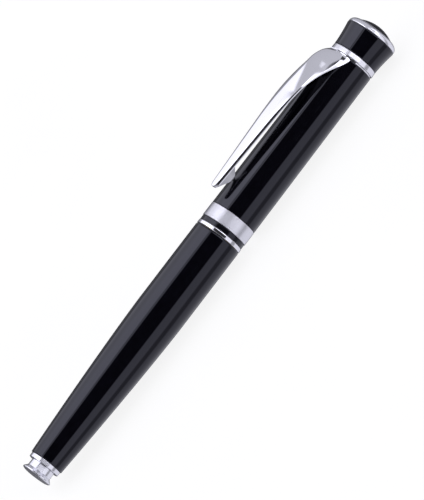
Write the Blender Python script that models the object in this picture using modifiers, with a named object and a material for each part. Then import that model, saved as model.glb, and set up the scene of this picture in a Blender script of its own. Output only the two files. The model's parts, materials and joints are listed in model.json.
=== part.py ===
"""A capped rollerball pen, lying along X with its clip upwards.

The origin is the centre of the flat on the tail button. +X runs from the tail to the crown and +Z goes
up through the clip. Lengths are in metres. The refill sets the size of the pen: what goes round it is
sized from the inside outwards, and what goes behind and ahead of it is placed from its two ends.
"""

import math

import bmesh
import bpy

# Clearances
SEAT_GAP = 0.00005  # between pieces that are clamped, glued or pressed together
THREAD_GAP = 0.00008  # radial, in the threads and the running fits
REFILL_GAP = 0.0002  # radial, round the refill
LINER_GAP = 0.0001  # radial, between the grip section and the cap's liner

# Turned pieces are many-sided, with one of their sides facing down
SIDES = 24
FLAT_TURN = math.pi / SIDES
RING_EDGE = 0.00015  # the small bevel on the edges of the thin rings

# Refill
REFILL_LENGTH = 0.0981
REFILL_RADIUS = 0.0030
REFILL_WALL = 0.00025
PLUG_HEAD_LENGTH = 0.0005
PLUG_LENGTH = 0.0016
FEED_SPIGOT_LENGTH = 0.0010
FEED_SHOULDER_LENGTH = 0.0034
FEED_NECK_RADIUS = 0.00125
RESERVOIR_GAP = 0.00015
RESERVOIR_END_GAP = 0.0002
NECK_AND_TIP_LENGTH = 0.0106
TIP_CONE_LENGTH = 0.0041
TIP_BASE_RADIUS = 0.00115
TIP_END_WALL = 0.0001  # round the ball
TIP_RIM_SHARE = 0.25  # of the ball's radius, how far the rim reaches past its middle
TIP_SEAT_STEPS = 4
TIP_SHANK_RADIUS = 0.0007
TIP_SHANK_LENGTH = 0.0019
BALL_RADIUS = 0.00035
BALL_GAP = 0.00003
BALL_SIDES = 16

# Spring behind the refill
SPRING_LENGTH = 0.0127
SPRING_RADIUS = 0.0020  # to the middle of the wire
SPRING_WIRE = 0.00045
SPRING_TURNS = 6
SPRING_END_GAP = 0.00007  # between the two coils of a closed end
SPRING_POINTS_A_TURN = 10

# Tail
TAIL_FLAT_RADIUS = 0.0026
TAIL_DOME_HEIGHT = 0.0004
TAIL_DOME_SHARE = 0.3  # of its height, halfway out from the flat to the disc's edge
TAIL_DISC_RADIUS = 0.00397
TAIL_RIM_LENGTH = 0.00015
TAIL_FLARE_LENGTH = 0.0010
TAIL_FLARE_STEPS = 3
TAIL_NECK_RADIUS = 0.00324
TAIL_NECK_LENGTH = 0.0018
TAIL_RING_RADIUS = 0.00420
TAIL_RING_LENGTH = 0.0012
TAIL_SCREW_RADIUS = 0.0012
TAIL_SCREW_BITE = 0.0015
TAIL_HEAD_RADIUS = 0.0024
TAIL_HEAD_LENGTH = 0.0015

# Barrel
BARREL_TAIL_RADIUS = 0.00447
BARREL_WALL = 0.00082
BARREL_END_WALL = 0.0012
BARREL_STRAIGHT_LENGTH = 0.0230
BARREL_CURVE_POWER = 1.42
BARREL_CURVE_STEPS = 8
BARREL_SHOULDER = 0.0004
BARREL_SHOULDER_STEPS = 3
BARREL_TRIM_LENGTH = 0.0011
COLLAR_LENGTH = 0.0013
COLLAR_SET_BACK = 0.0001
BUSH_LENGTH = 0.0074
BUSH_WALL = 0.00115

# Grip section
COUPLING_WALL = 0.0010
THREAD_LENGTH = 0.0045
SPIGOT_WALL = 0.00055
SPIGOT_LENGTH = 0.0085
SECTION_RING_LENGTH = 0.0012
SECTION_RING_STEP = 0.00045
SLEEVE_WALL = 0.0008
SLEEVE_LENGTH = 0.0274
SLEEVE_FRONT_WALL = 0.00062
SLEEVE_CURVE_STEPS = 4
NOSE_LENGTH = 0.0118
NOSE_END_WALL = 0.0004
NOSE_SPIGOT_LENGTH = 0.0030
NOSE_SPIGOT_WALL = 0.0003
NOSE_HOLE_GAP = 0.0001
NOSE_CURVE_STEPS = 5
TIP_STICKS_OUT = 0.0022

# Cap
LIP_BAND_LENGTH = 0.0038
LIP_BAND_PROUD = 0.00003
LIP_LENGTH = 0.0007
LIP_EDGE = 0.00025
LIP_SPIGOT_WALL = 0.0005
LINER_WALL = 0.00045
LINER_START = 0.0017  # behind the cap's mouth edge
LINER_TAPER_START = 0.0020  # past the back of the nose cone
LINER_TAPER_LENGTH = 0.0080
LINER_DRAW_IN = 0.00105  # how much narrower the bore is past the taper
LINER_END_WALL = 0.0006
HEADROOM = 0.0045  # free length ahead of the tip
CAP_WALL = 0.00090
CAP_BUSH_LENGTH = 0.0033
CAP_EDGE = 0.00015

# Clip's washer and the crown
WASHER_THICKNESS = 0.00025
WASHER_SET_BACK = 0.00032  # from the cap's own radius
WASHER_TAB_WIDTH = 0.0030
WASHER_TAB_BITE = 0.0011  # how far the tab reaches into the washer
TRIM_RING_LENGTH = 0.0015
TRIM_RING_PROUD = 0.0001
CROWN_LENGTH = 0.00655
CROWN_PROUD = 0.00004
CROWN_FLARE = 0.00068
CROWN_FLARE_POWER = 1.5
CROWN_FLARE_STEPS = 6
CROWN_EDGE = 0.00025
BEZEL_LENGTH = 0.0017
BEZEL_SPIGOT_LENGTH = 0.0012
BEZEL_SPIGOT_WALL = 0.0005
BEZEL_CURVE_STEPS = 5
JEWEL_RADIUS = 0.0049
JEWEL_HEIGHT = 0.0014
JEWEL_LEDGE = 0.0005
JEWEL_CURVE_STEPS = 5
FINIAL_SCREW_RADIUS = 0.0015
CROWN_FLOOR = 0.00105  # between the screw's hole and the bezel's socket

# Clip, measured from its root towards its tip
CLIP_LENGTH = 0.0453
CLIP_WALL = 0.0005
CLIP_ROOT_WALL = 0.00038  # at the root's crest
CLIP_ROOT_EDGE_WALL = 0.000273  # at the root's side edges
CLIP_ROOT_ANGLE = 54  # degrees round the cap, from the crest to a side edge
CLIP_RISE = 0.00345
CLIP_RISE_LENGTH = 0.0020
CLIP_FALL = 0.0003
CLIP_TIP_HALF_WIDTH = 0.00130
CLIP_ROOT_FLARE = 0.0003
CLIP_ROOT_FLARE_LENGTH = 0.0020
CLIP_EDGE_LIFT = 0.0057
CLIP_EDGE_LIFT_LENGTH = 0.0076
CLIP_EDGE_LIFT_POWER = 1.6
CLIP_FLANK = 0.00035
CLIP_ROOT_FLANK = 0.0014
CLIP_ROOT_FLANK_LENGTH = 0.0035
CLIP_FLANK_POWER = 1.5
CLIP_CREASE_INSET = 0.00175
CLIP_CREASE_LENGTH = 0.0018
CLIP_CROWN_POWER = 2.2
CLIP_TIP_ROUND = 0.0013
CLIP_END_SHARE = 0.35  # width left at the very tip
CLIP_TOP_STEPS = 8
CLIP_ROOT_REACH = 0.0160  # the stretch with the closest sections
CLIP_ROOT_STEPS = 8
CLIP_ROOT_SPREAD = 1.6
CLIP_ARM_STEPS = 4
CLIP_SHARP_ANGLE = 35
PAD_START = 0.0071  # the pad is measured back from the clip's tip
PAD_CONTACT = 0.0048
PAD_END = 0.0009
PAD_FLAT_SHARE = 0.25  # of the half width between the creases
PAD_WALL_SHARE = 0.25

# Radii, from the inside outwards
COUPLING_BORE = REFILL_RADIUS + REFILL_GAP
THREAD_RADIUS = COUPLING_BORE + COUPLING_WALL
SPIGOT_RADIUS = COUPLING_BORE + SPIGOT_WALL
BUSH_BORE = THREAD_RADIUS + THREAD_GAP
BUSH_RADIUS = BUSH_BORE + BUSH_WALL
BARREL_BORE = BUSH_RADIUS + SEAT_GAP
BODY_RADIUS = BARREL_BORE + BARREL_WALL
SLEEVE_BORE = SPIGOT_RADIUS + SEAT_GAP
SLEEVE_RADIUS = SLEEVE_BORE + SLEEVE_WALL
SECTION_RING_RADIUS = SLEEVE_RADIUS + SECTION_RING_STEP
NOSE_SPIGOT_BORE = REFILL_RADIUS + THREAD_GAP
NOSE_SPIGOT_RADIUS = NOSE_SPIGOT_BORE + NOSE_SPIGOT_WALL
SLEEVE_FRONT_RADIUS = NOSE_SPIGOT_RADIUS + SEAT_GAP + SLEEVE_FRONT_WALL
NOSE_HOLE_RADIUS = FEED_NECK_RADIUS + NOSE_HOLE_GAP
NOSE_END_RADIUS = NOSE_HOLE_RADIUS + NOSE_END_WALL
TIP_END_RADIUS = BALL_RADIUS + BALL_GAP + TIP_END_WALL
LINER_BORE = SLEEVE_RADIUS + LINER_GAP
LINER_RADIUS = LINER_BORE + LINER_WALL
LINER_FRONT_BORE = LINER_BORE - LINER_DRAW_IN
CAP_BORE = LINER_RADIUS + SEAT_GAP
CAP_TOP_RADIUS = CAP_BORE + CAP_WALL
WASHER_RADIUS = CAP_TOP_RADIUS - WASHER_SET_BACK
LIP_BAND_RADIUS = BODY_RADIUS + LIP_BAND_PROUD
TRIM_RING_RADIUS = CAP_TOP_RADIUS + TRIM_RING_PROUD
CROWN_BASE_RADIUS = CAP_TOP_RADIUS + CROWN_PROUD
CROWN_TOP_RADIUS = CROWN_BASE_RADIUS + CROWN_FLARE
BEZEL_BORE = JEWEL_RADIUS - JEWEL_LEDGE
BEZEL_SPIGOT_RADIUS = BEZEL_BORE + BEZEL_SPIGOT_WALL
FINIAL_HOLE_RADIUS = FINIAL_SCREW_RADIUS + SEAT_GAP
TAIL_HOLE_RADIUS = TAIL_SCREW_RADIUS + SEAT_GAP

# Stations along the pen
TAIL_RIM_X = TAIL_DOME_HEIGHT
TAIL_NECK_X = TAIL_RIM_X + TAIL_FLARE_LENGTH
TAIL_RING_X = TAIL_NECK_X + TAIL_NECK_LENGTH
BARREL_X = TAIL_RING_X + TAIL_RING_LENGTH
TAIL_HEAD_X = BARREL_X + BARREL_END_WALL + SEAT_GAP
SPRING_X = TAIL_HEAD_X + TAIL_HEAD_LENGTH + SEAT_GAP
REFILL_X = SPRING_X + SPRING_LENGTH
TIP_X = REFILL_X + REFILL_LENGTH
NOSE_END_X = TIP_X - TIP_STICKS_OUT
NOSE_X = NOSE_END_X - NOSE_LENGTH
SLEEVE_X = NOSE_X - SLEEVE_LENGTH
MOUTH_X = SLEEVE_X - SECTION_RING_LENGTH
COLLAR_X = MOUTH_X - COLLAR_LENGTH
BARREL_TRIM_X = COLLAR_X - BARREL_TRIM_LENGTH
BARREL_LENGTH = BARREL_TRIM_X - BARREL_X
FEED_X = TIP_X - NECK_AND_TIP_LENGTH - FEED_SHOULDER_LENGTH
TIP_CONE_X = TIP_X - TIP_CONE_LENGTH
CAP_TUBE_X = MOUTH_X + LIP_BAND_LENGTH
LINER_END_X = TIP_X + HEADROOM + LINER_END_WALL
CAP_BUSH_X = LINER_END_X + SEAT_GAP
CAP_END_X = CAP_BUSH_X + CAP_BUSH_LENGTH + SEAT_GAP
WASHER_X = CAP_END_X + SEAT_GAP
TRIM_RING_X = WASHER_X + WASHER_THICKNESS + SEAT_GAP
CROWN_X = TRIM_RING_X + TRIM_RING_LENGTH
BEZEL_X = CROWN_X + CROWN_LENGTH
JEWEL_X = BEZEL_X + BEZEL_LENGTH
CROWN_SOCKET_X = BEZEL_X - 2 * SEAT_GAP - BEZEL_SPIGOT_LENGTH
FINIAL_SCREW_END_X = CROWN_SOCKET_X - CROWN_FLOOR - SEAT_GAP

# Clip's root crest, and its hinge line across the top of the root
CLIP_ROOT_CREST = CAP_TOP_RADIUS + SEAT_GAP + CLIP_ROOT_WALL
HINGE_X = CAP_END_X
HINGE_Z = CLIP_ROOT_CREST - CLIP_ROOT_WALL / 2

# Materials: colour, roughness, metallic
FINISHES = {
    "black_lacquer": ((0.010, 0.010, 0.014), 0.08, 0.0),
    "chrome": ((0.80, 0.80, 0.82), 0.06, 1.0),
    "satin_chrome": ((0.74, 0.74, 0.76), 0.25, 1.0),
    "brass": ((0.76, 0.58, 0.28), 0.30, 1.0),
    "steel": ((0.58, 0.58, 0.60), 0.28, 1.0),
    "black_resin": ((0.012, 0.012, 0.014), 0.18, 0.0),
    "liner_plastic": ((0.035, 0.035, 0.038), 0.45, 0.0),
    "refill_plastic": ((0.62, 0.62, 0.60), 0.40, 0.0),
    "ink_fibre": ((0.03, 0.04, 0.22), 0.90, 0.0),
}


def clear_scene():
    for obj in list(bpy.data.objects):
        bpy.data.objects.remove(obj, do_unlink=True)


def new_collection(name):
    collection = bpy.data.collections.new(name)
    bpy.context.scene.collection.children.link(collection)
    return collection


def finish(name):
    """The material of this name, made the first time it is asked for."""
    material = bpy.data.materials.get(name)
    if material is None:
        colour, roughness, metallic = FINISHES[name]
        material = bpy.data.materials.new(name)
        material.use_nodes = True
        shader = material.node_tree.nodes["Principled BSDF"]
        shader.inputs["Base Color"].default_value = (*colour, 1.0)
        shader.inputs["Roughness"].default_value = roughness
        shader.inputs["Metallic"].default_value = metallic
    return material


def part_material(part, finish_name):
    """A copy of the finish that belongs to this part alone."""
    material = finish(finish_name).copy()
    material.name = part + "_" + finish_name
    return material


def turned(name, start, outline, finish_name, collection):
    """A piece turned about the pen's axis.

    The outline is a list of (distance past start, radius). The outside runs from the tail end to the
    crown end and the bore runs back. A piece that is closed across the axis starts and ends on it.
    """
    corners = []
    for distance, radius in reversed(outline):
        corners.append((radius * math.cos(FLAT_TURN), radius * math.sin(FLAT_TURN), distance))
    edges = [(i, i + 1) for i in range(len(corners) - 1)]
    if outline[0][1] > 0:
        edges.append((len(corners) - 1, 0))
    mesh = bpy.data.meshes.new(name)
    mesh.from_pydata(corners, edges, [])
    mesh.materials.append(part_material(name, finish_name))
    obj = bpy.data.objects.new(name, mesh)
    obj.location = (start, 0, 0)
    obj.rotation_euler = (0, math.pi / 2, 0)
    collection.objects.link(obj)
    screw = obj.modifiers.new("Turn", "SCREW")
    screw.axis = "Z"
    screw.angle = 2 * math.pi
    screw.steps = SIDES
    screw.render_steps = SIDES
    screw.use_merge_vertices = True
    screw.merge_threshold = 1e-6
    screw.use_smooth_shade = True
    return obj


def arc(centre, radius, first, last, steps):
    """Points on a circle round centre, a (distance, radius) pair. An angle of 0 is away from the axis and
    90 degrees is towards the crown."""
    points = []
    for i in range(steps + 1):
        angle = math.radians(first + (last - first) * i / steps)
        points.append((centre[0] + radius * math.sin(angle), centre[1] + radius * math.cos(angle)))
    return points


def rod_outline(length, radius):
    return [(0, 0), (0, radius), (length, radius), (length, 0)]


def tube_outline(length, outer, inner):
    return [(0, outer), (length, outer), (length, inner), (0, inner)]


def ring_outline(length, outer, inner):
    """A ring whose two outside edges are bevelled."""
    return [
        (0, outer - RING_EDGE),
        (RING_EDGE, outer),
        (length - RING_EDGE, outer),
        (length, outer - RING_EDGE),
        (length, inner),
        (0, inner),
    ]


# Tail


def add_tail_button(collection):
    """A disc with a shallow domed rim round its flat, a flare, and a neck with a tapped blind hole."""
    neck_end = TAIL_RING_X - SEAT_GAP
    hole_floor = TAIL_RING_X - TAIL_SCREW_BITE - SEAT_GAP
    rim_middle = (TAIL_FLAT_RADIUS + TAIL_DISC_RADIUS) / 2
    outline = [
        (0, 0),
        (0, TAIL_FLAT_RADIUS),
        (TAIL_DOME_HEIGHT * TAIL_DOME_SHARE, rim_middle),
        (TAIL_RIM_X, TAIL_DISC_RADIUS),
        (TAIL_RIM_X + TAIL_RIM_LENGTH, TAIL_DISC_RADIUS),
    ]
    flare_depth = TAIL_DISC_RADIUS - TAIL_NECK_RADIUS
    flare_start = TAIL_RIM_X + TAIL_RIM_LENGTH
    for i in range(1, TAIL_FLARE_STEPS + 1):
        share = i / TAIL_FLARE_STEPS
        station = flare_start + (TAIL_NECK_X - flare_start) * share
        outline.append((station, TAIL_NECK_RADIUS + flare_depth * (1 - share) ** 2))
    outline += [
        (neck_end, TAIL_NECK_RADIUS),
        (neck_end, TAIL_HOLE_RADIUS),
        (hole_floor, TAIL_HOLE_RADIUS),
        (hole_floor, 0),
    ]
    turned("tail_button", 0, outline, "chrome", collection)


def add_tail_ring(collection):
    outline = ring_outline(TAIL_RING_LENGTH - SEAT_GAP, TAIL_RING_RADIUS, TAIL_HOLE_RADIUS)
    turned("tail_ring", TAIL_RING_X, outline, "chrome", collection)


def add_tail_screw(collection):
    start = TAIL_RING_X - TAIL_SCREW_BITE
    outline = [
        (0, 0),
        (0, TAIL_SCREW_RADIUS),
        (TAIL_HEAD_X - start, TAIL_SCREW_RADIUS),
        (TAIL_HEAD_X - start, TAIL_HEAD_RADIUS),
        (TAIL_HEAD_X + TAIL_HEAD_LENGTH - start, TAIL_HEAD_RADIUS),
        (TAIL_HEAD_X + TAIL_HEAD_LENGTH - start, 0),
    ]
    turned("tail_screw", start, outline, "steel", collection)


# Barrel


def barrel_radius(distance):
    """The barrel swells from its tail end and is straight for its last stretch."""
    taper = BARREL_LENGTH - BARREL_STRAIGHT_LENGTH
    left = max(0.0, 1 - distance / taper)
    return BODY_RADIUS - (BODY_RADIUS - BARREL_TAIL_RADIUS) * left**BARREL_CURVE_POWER


def add_barrel_tube(collection):
    taper = BARREL_LENGTH - BARREL_STRAIGHT_LENGTH
    end = BARREL_LENGTH - SEAT_GAP
    stations = [taper * i / BARREL_CURVE_STEPS for i in range(BARREL_CURVE_STEPS + 1)]
    outline = [(d, barrel_radius(d)) for d in stations]
    shoulder = (end - BARREL_SHOULDER, BODY_RADIUS - BARREL_SHOULDER)
    outline += arc(shoulder, BARREL_SHOULDER, 0, 90, BARREL_SHOULDER_STEPS)
    outline.append((end, BARREL_BORE))
    for d in reversed(stations[1:]):
        outline.append((d, barrel_radius(d) - BARREL_WALL))
    outline.append((BARREL_END_WALL, barrel_radius(BARREL_END_WALL) - BARREL_WALL))
    outline.append((BARREL_END_WALL, TAIL_HOLE_RADIUS))
    outline.append((0, TAIL_HOLE_RADIUS))
    turned("barrel_tube", BARREL_X, outline, "black_lacquer", collection)


def add_barrel_bush(collection):
    start = MOUTH_X - BUSH_LENGTH
    outline = tube_outline(BUSH_LENGTH - SEAT_GAP, BUSH_RADIUS, BUSH_BORE)
    turned("barrel_bush", start, outline, "brass", collection)


def add_barrel_trim_ring(collection):
    outline = ring_outline(BARREL_TRIM_LENGTH - SEAT_GAP, BODY_RADIUS, BARREL_BORE)
    turned("barrel_trim_ring", BARREL_TRIM_X, outline, "chrome", collection)


def add_barrel_collar(collection):
    outline = tube_outline(COLLAR_LENGTH - SEAT_GAP, BODY_RADIUS - COLLAR_SET_BACK, BARREL_BORE)
    turned("barrel_collar", COLLAR_X, outline, "black_resin", collection)


# Spring and refill


def add_refill_spring(collection):
    """A compression spring with one closed turn at each end, as a bevelled curve along X."""
    end_pitch = SPRING_WIRE + SPRING_END_GAP
    first = SPRING_X + SEAT_GAP + SPRING_WIRE / 2
    last = REFILL_X - SEAT_GAP - SPRING_WIRE / 2
    active_pitch = (last - first - 2 * end_pitch) / SPRING_TURNS
    count = (SPRING_TURNS + 2) * SPRING_POINTS_A_TURN
    curve = bpy.data.curves.new("refill_spring", "CURVE")
    curve.dimensions = "3D"
    curve.bevel_depth = SPRING_WIRE / 2
    curve.bevel_resolution = 2
    curve.use_fill_caps = True
    spline = curve.splines.new("POLY")
    spline.points.add(count)
    for i, point in enumerate(spline.points):
        turn = i / SPRING_POINTS_A_TURN
        along = end_pitch * min(turn, 1)
        along += active_pitch * min(max(turn - 1, 0), SPRING_TURNS)
        along += end_pitch * max(turn - 1 - SPRING_TURNS, 0)
        angle = 2 * math.pi * turn
        y = SPRING_RADIUS * math.cos(angle)
        z = SPRING_RADIUS * math.sin(angle)
        point.co = (first - SPRING_X + along, y, z, 1)
    curve.materials.append(part_material("refill_spring", "steel"))
    obj = bpy.data.objects.new("refill_spring", curve)
    obj.location = (SPRING_X, 0, 0)
    collection.objects.link(obj)


def add_refill_plug(collection):
    spigot = REFILL_RADIUS - REFILL_WALL - SEAT_GAP
    outline = [
        (0, 0),
        (0, REFILL_RADIUS),
        (PLUG_HEAD_LENGTH, REFILL_RADIUS),
        (PLUG_HEAD_LENGTH, spigot),
        (PLUG_LENGTH, spigot),
        (PLUG_LENGTH, 0),
    ]
    turned("refill_plug", REFILL_X, outline, "refill_plastic", collection)


def add_refill_tube(collection):
    start = REFILL_X + PLUG_HEAD_LENGTH + SEAT_GAP
    length = FEED_X - SEAT_GAP - start
    outline = tube_outline(length, REFILL_RADIUS, REFILL_RADIUS - REFILL_WALL)
    turned("refill_tube", start, outline, "steel", collection)


def add_ink_reservoir(collection):
    start = REFILL_X + PLUG_LENGTH + RESERVOIR_END_GAP
    length = FEED_X - FEED_SPIGOT_LENGTH - RESERVOIR_END_GAP - start
    radius = REFILL_RADIUS - REFILL_WALL - RESERVOIR_GAP
    turned("ink_reservoir", start, rod_outline(length, radius), "ink_fibre", collection)


def add_refill_feed(collection):
    """A spigot in the refill's tube, a shoulder that seats in the nose cone, and a neck."""
    spigot = REFILL_RADIUS - REFILL_WALL - SEAT_GAP
    shoulder_end = FEED_SPIGOT_LENGTH + FEED_SHOULDER_LENGTH
    neck_end = TIP_CONE_X - SEAT_GAP - (FEED_X - FEED_SPIGOT_LENGTH)
    socket = TIP_SHANK_RADIUS + SEAT_GAP
    outline = [
        (0, 0),
        (0, spigot),
        (FEED_SPIGOT_LENGTH, spigot),
        (FEED_SPIGOT_LENGTH, REFILL_RADIUS),
        (shoulder_end, REFILL_RADIUS),
        (shoulder_end, FEED_NECK_RADIUS),
        (neck_end, FEED_NECK_RADIUS),
        (neck_end, socket),
        (neck_end - TIP_SHANK_LENGTH, socket),
        (neck_end - TIP_SHANK_LENGTH, 0),
    ]
    turned("refill_feed", FEED_X - FEED_SPIGOT_LENGTH, outline, "refill_plastic", collection)


def add_refill_tip(collection):
    """A metal cone on a shank, with a round seat in its end for the ball."""
    start = TIP_CONE_X - TIP_SHANK_LENGTH
    ball_centre = TIP_X - BALL_RADIUS - start
    seat = BALL_RADIUS + BALL_GAP
    rim = ball_centre + BALL_RADIUS * TIP_RIM_SHARE
    outline = [
        (0, 0),
        (0, TIP_SHANK_RADIUS),
        (TIP_SHANK_LENGTH, TIP_SHANK_RADIUS),
        (TIP_SHANK_LENGTH, TIP_BASE_RADIUS),
        (rim, TIP_END_RADIUS),
        (rim, seat),
    ]
    outline += arc((ball_centre, 0), seat, 0, -90, TIP_SEAT_STEPS)
    outline[-1] = (ball_centre - seat, 0)
    turned("refill_tip", start, outline, "steel", collection)


def add_refill_ball(collection):
    mesh = bpy.data.meshes.new("refill_ball")
    shape = bmesh.new()
    rows = BALL_SIDES // 2
    bmesh.ops.create_uvsphere(shape, u_segments=BALL_SIDES, v_segments=rows, radius=BALL_RADIUS)
    shape.to_mesh(mesh)
    shape.free()
    mesh.shade_smooth()
    mesh.materials.append(part_material("refill_ball", "steel"))
    obj = bpy.data.objects.new("refill_ball", mesh)
    obj.location = (TIP_X - BALL_RADIUS, 0, 0)
    obj.rotation_euler = (0, math.pi / 2, 0)
    collection.objects.link(obj)


# Grip section


def add_section_coupling(collection):
    """The threaded stretch screws into the barrel's bush, and the spigot holds the sleeve."""
    front = THREAD_LENGTH + SPIGOT_LENGTH
    outline = [
        (0, THREAD_RADIUS),
        (THREAD_LENGTH, THREAD_RADIUS),
        (THREAD_LENGTH, SPIGOT_RADIUS),
        (front, SPIGOT_RADIUS),
        (front, COUPLING_BORE),
        (0, COUPLING_BORE),
    ]
    turned("section_coupling", MOUTH_X - THREAD_LENGTH, outline, "brass", collection)


def add_section_ring(collection):
    outline = ring_outline(SECTION_RING_LENGTH - 2 * SEAT_GAP, SECTION_RING_RADIUS, SLEEVE_BORE)
    turned("section_ring", MOUTH_X + SEAT_GAP, outline, "chrome", collection)


def add_section_sleeve(collection):
    """The grip draws in towards the nose, and both ends of its bore are opened for spigots."""
    length = SLEEVE_LENGTH - SEAT_GAP
    outline = []
    for i in range(SLEEVE_CURVE_STEPS + 1):
        share = i / SLEEVE_CURVE_STEPS
        radius = SLEEVE_RADIUS - (SLEEVE_RADIUS - SLEEVE_FRONT_RADIUS) * share**2
        outline.append((length * share, radius))
    back_end = SPIGOT_LENGTH + SEAT_GAP - SECTION_RING_LENGTH
    front_end = length - NOSE_SPIGOT_LENGTH
    socket = NOSE_SPIGOT_RADIUS + SEAT_GAP
    outline += [
        (length, socket),
        (front_end, socket),
        (front_end, COUPLING_BORE),
        (back_end, COUPLING_BORE),
        (back_end, SLEEVE_BORE),
        (0, SLEEVE_BORE),
    ]
    turned("section_sleeve", SLEEVE_X, outline, "black_resin", collection)


def add_nose_cone(collection):
    """A rounded cone on a spigot, bored for the refill's shoulder and then for its neck."""
    seat = NOSE_SPIGOT_LENGTH + FEED_X + FEED_SHOULDER_LENGTH + SEAT_GAP - NOSE_X
    end = NOSE_SPIGOT_LENGTH + NOSE_LENGTH
    draw_in = SLEEVE_FRONT_RADIUS - NOSE_END_RADIUS
    outline = [(0, NOSE_SPIGOT_RADIUS), (NOSE_SPIGOT_LENGTH, NOSE_SPIGOT_RADIUS)]
    for i in range(NOSE_CURVE_STEPS + 1):
        share = i / NOSE_CURVE_STEPS
        radius = SLEEVE_FRONT_RADIUS - draw_in * share**2
        outline.append((NOSE_SPIGOT_LENGTH + NOSE_LENGTH * share, radius))
    outline += [
        (end, NOSE_HOLE_RADIUS),
        (seat, NOSE_HOLE_RADIUS),
        (seat, NOSE_SPIGOT_BORE),
        (0, NOSE_SPIGOT_BORE),
    ]
    turned("nose_cone", NOSE_X - NOSE_SPIGOT_LENGTH, outline, "chrome", collection)


# Cap


def cap_radius(x):
    """The cap tube narrows evenly from the mouth band to its closed end."""
    share = (x - CAP_TUBE_X) / (CAP_END_X - CAP_TUBE_X)
    return BODY_RADIUS + (CAP_TOP_RADIUS - BODY_RADIUS) * share


def add_cap_lip_band(collection):
    """The wide ring round the mouth: a lip inwards at its edge, then a socket for the cap tube."""
    length = LIP_BAND_LENGTH - SEAT_GAP
    socket = CAP_BORE + LIP_SPIGOT_WALL + SEAT_GAP
    outline = [
        (SEAT_GAP, LIP_BAND_RADIUS - LIP_EDGE),
        (SEAT_GAP + LIP_EDGE, LIP_BAND_RADIUS),
        (length - LIP_EDGE, LIP_BAND_RADIUS),
        (length, LIP_BAND_RADIUS - LIP_EDGE),
        (length, socket),
        (LIP_LENGTH, socket),
        (LIP_LENGTH, CAP_BORE),
        (SEAT_GAP, CAP_BORE),
    ]
    turned("cap_lip_band", MOUTH_X, outline, "satin_chrome", collection)


def add_cap_tube(collection):
    spigot_start = MOUTH_X + LIP_LENGTH + SEAT_GAP
    spigot = CAP_BORE + LIP_SPIGOT_WALL
    shoulder = CAP_TUBE_X - spigot_start
    end = CAP_END_X - spigot_start
    outline = [
        (0, spigot),
        (shoulder, spigot),
        (shoulder, BODY_RADIUS - CAP_EDGE),
        (shoulder + CAP_EDGE, BODY_RADIUS),
        (end - CAP_EDGE, CAP_TOP_RADIUS),
        (end, CAP_TOP_RADIUS - CAP_EDGE),
        (end, CAP_BORE),
        (0, CAP_BORE),
    ]
    turned("cap_tube", spigot_start, outline, "black_lacquer", collection)


def add_inner_cap(collection):
    """The liner has a straight skirt round the grip, a taper round the nose, and a closed end."""
    start = MOUTH_X + LINER_START
    taper_start = NOSE_X + LINER_TAPER_START - start
    taper_end = taper_start + LINER_TAPER_LENGTH
    end = LINER_END_X - start
    front = LINER_FRONT_BORE + LINER_WALL
    outline = [
        (end - LINER_END_WALL, 0),
        (end - LINER_END_WALL, LINER_FRONT_BORE),
        (taper_end, LINER_FRONT_BORE),
        (taper_start, LINER_BORE),
        (0, LINER_BORE),
        (0, LINER_RADIUS),
        (taper_start, LINER_RADIUS),
        (taper_end, front),
        (end, front),
        (end, 0),
    ]
    turned("inner_cap", start, outline, "liner_plastic", collection)


def add_cap_bush(collection):
    outline = tube_outline(CAP_BUSH_LENGTH, LINER_RADIUS, FINIAL_HOLE_RADIUS)
    turned("cap_bush", CAP_BUSH_X, outline, "brass", collection)


def add_clip_washer(collection, cutters):
    """The clip's clamped ring, with the tab that reaches up to the clip's root."""
    outline = tube_outline(WASHER_THICKNESS, WASHER_RADIUS, FINIAL_HOLE_RADIUS)
    washer = turned("clip_washer", WASHER_X, outline, "chrome", collection)
    bottom = WASHER_RADIUS - WASHER_TAB_BITE
    top = CLIP_ROOT_CREST
    mesh = bpy.data.meshes.new("clip_washer_tab")
    shape = bmesh.new()
    bmesh.ops.create_cube(shape, size=1)
    bmesh.ops.scale(shape, vec=(WASHER_THICKNESS, WASHER_TAB_WIDTH, top - bottom), verts=shape.verts)
    shape.to_mesh(mesh)
    shape.free()
    tab = bpy.data.objects.new("clip_washer_tab", mesh)
    tab.location = (WASHER_X + WASHER_THICKNESS / 2, 0, (top + bottom) / 2)
    tab.hide_render = True
    tab.display_type = "WIRE"
    cutters.objects.link(tab)
    union = washer.modifiers.new("Tab", "BOOLEAN")
    union.operation = "UNION"
    union.solver = "EXACT"
    union.object = tab


def add_clip_trim_ring(collection):
    outline = ring_outline(TRIM_RING_LENGTH - SEAT_GAP, TRIM_RING_RADIUS, FINIAL_HOLE_RADIUS)
    turned("clip_trim_ring", TRIM_RING_X, outline, "chrome", collection)


def add_finial_screw(collection):
    start = CAP_BUSH_X
    length = FINIAL_SCREW_END_X - start
    turned("finial_screw", start, rod_outline(length, FINIAL_SCREW_RADIUS), "steel", collection)


def add_finial_crown(collection):
    """A cup that flares towards its top: a blind hole for the screw, and a socket for the bezel."""
    length = CROWN_LENGTH - SEAT_GAP
    hole_floor = FINIAL_SCREW_END_X + SEAT_GAP - CROWN_X
    outline = [(hole_floor, 0), (hole_floor, FINIAL_HOLE_RADIUS), (0, FINIAL_HOLE_RADIUS)]
    for i in range(CROWN_FLARE_STEPS + 1):
        share = i / CROWN_FLARE_STEPS
        radius = CROWN_BASE_RADIUS + CROWN_FLARE * share**CROWN_FLARE_POWER
        outline.append(((length - CROWN_EDGE) * share, radius))
    socket = BEZEL_SPIGOT_RADIUS + SEAT_GAP
    outline += [
        (length, CROWN_TOP_RADIUS - CROWN_EDGE),
        (length, socket),
        (CROWN_SOCKET_X - CROWN_X, socket),
        (CROWN_SOCKET_X - CROWN_X, 0),
    ]
    turned("finial_crown", CROWN_X, outline, "black_lacquer", collection)


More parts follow.
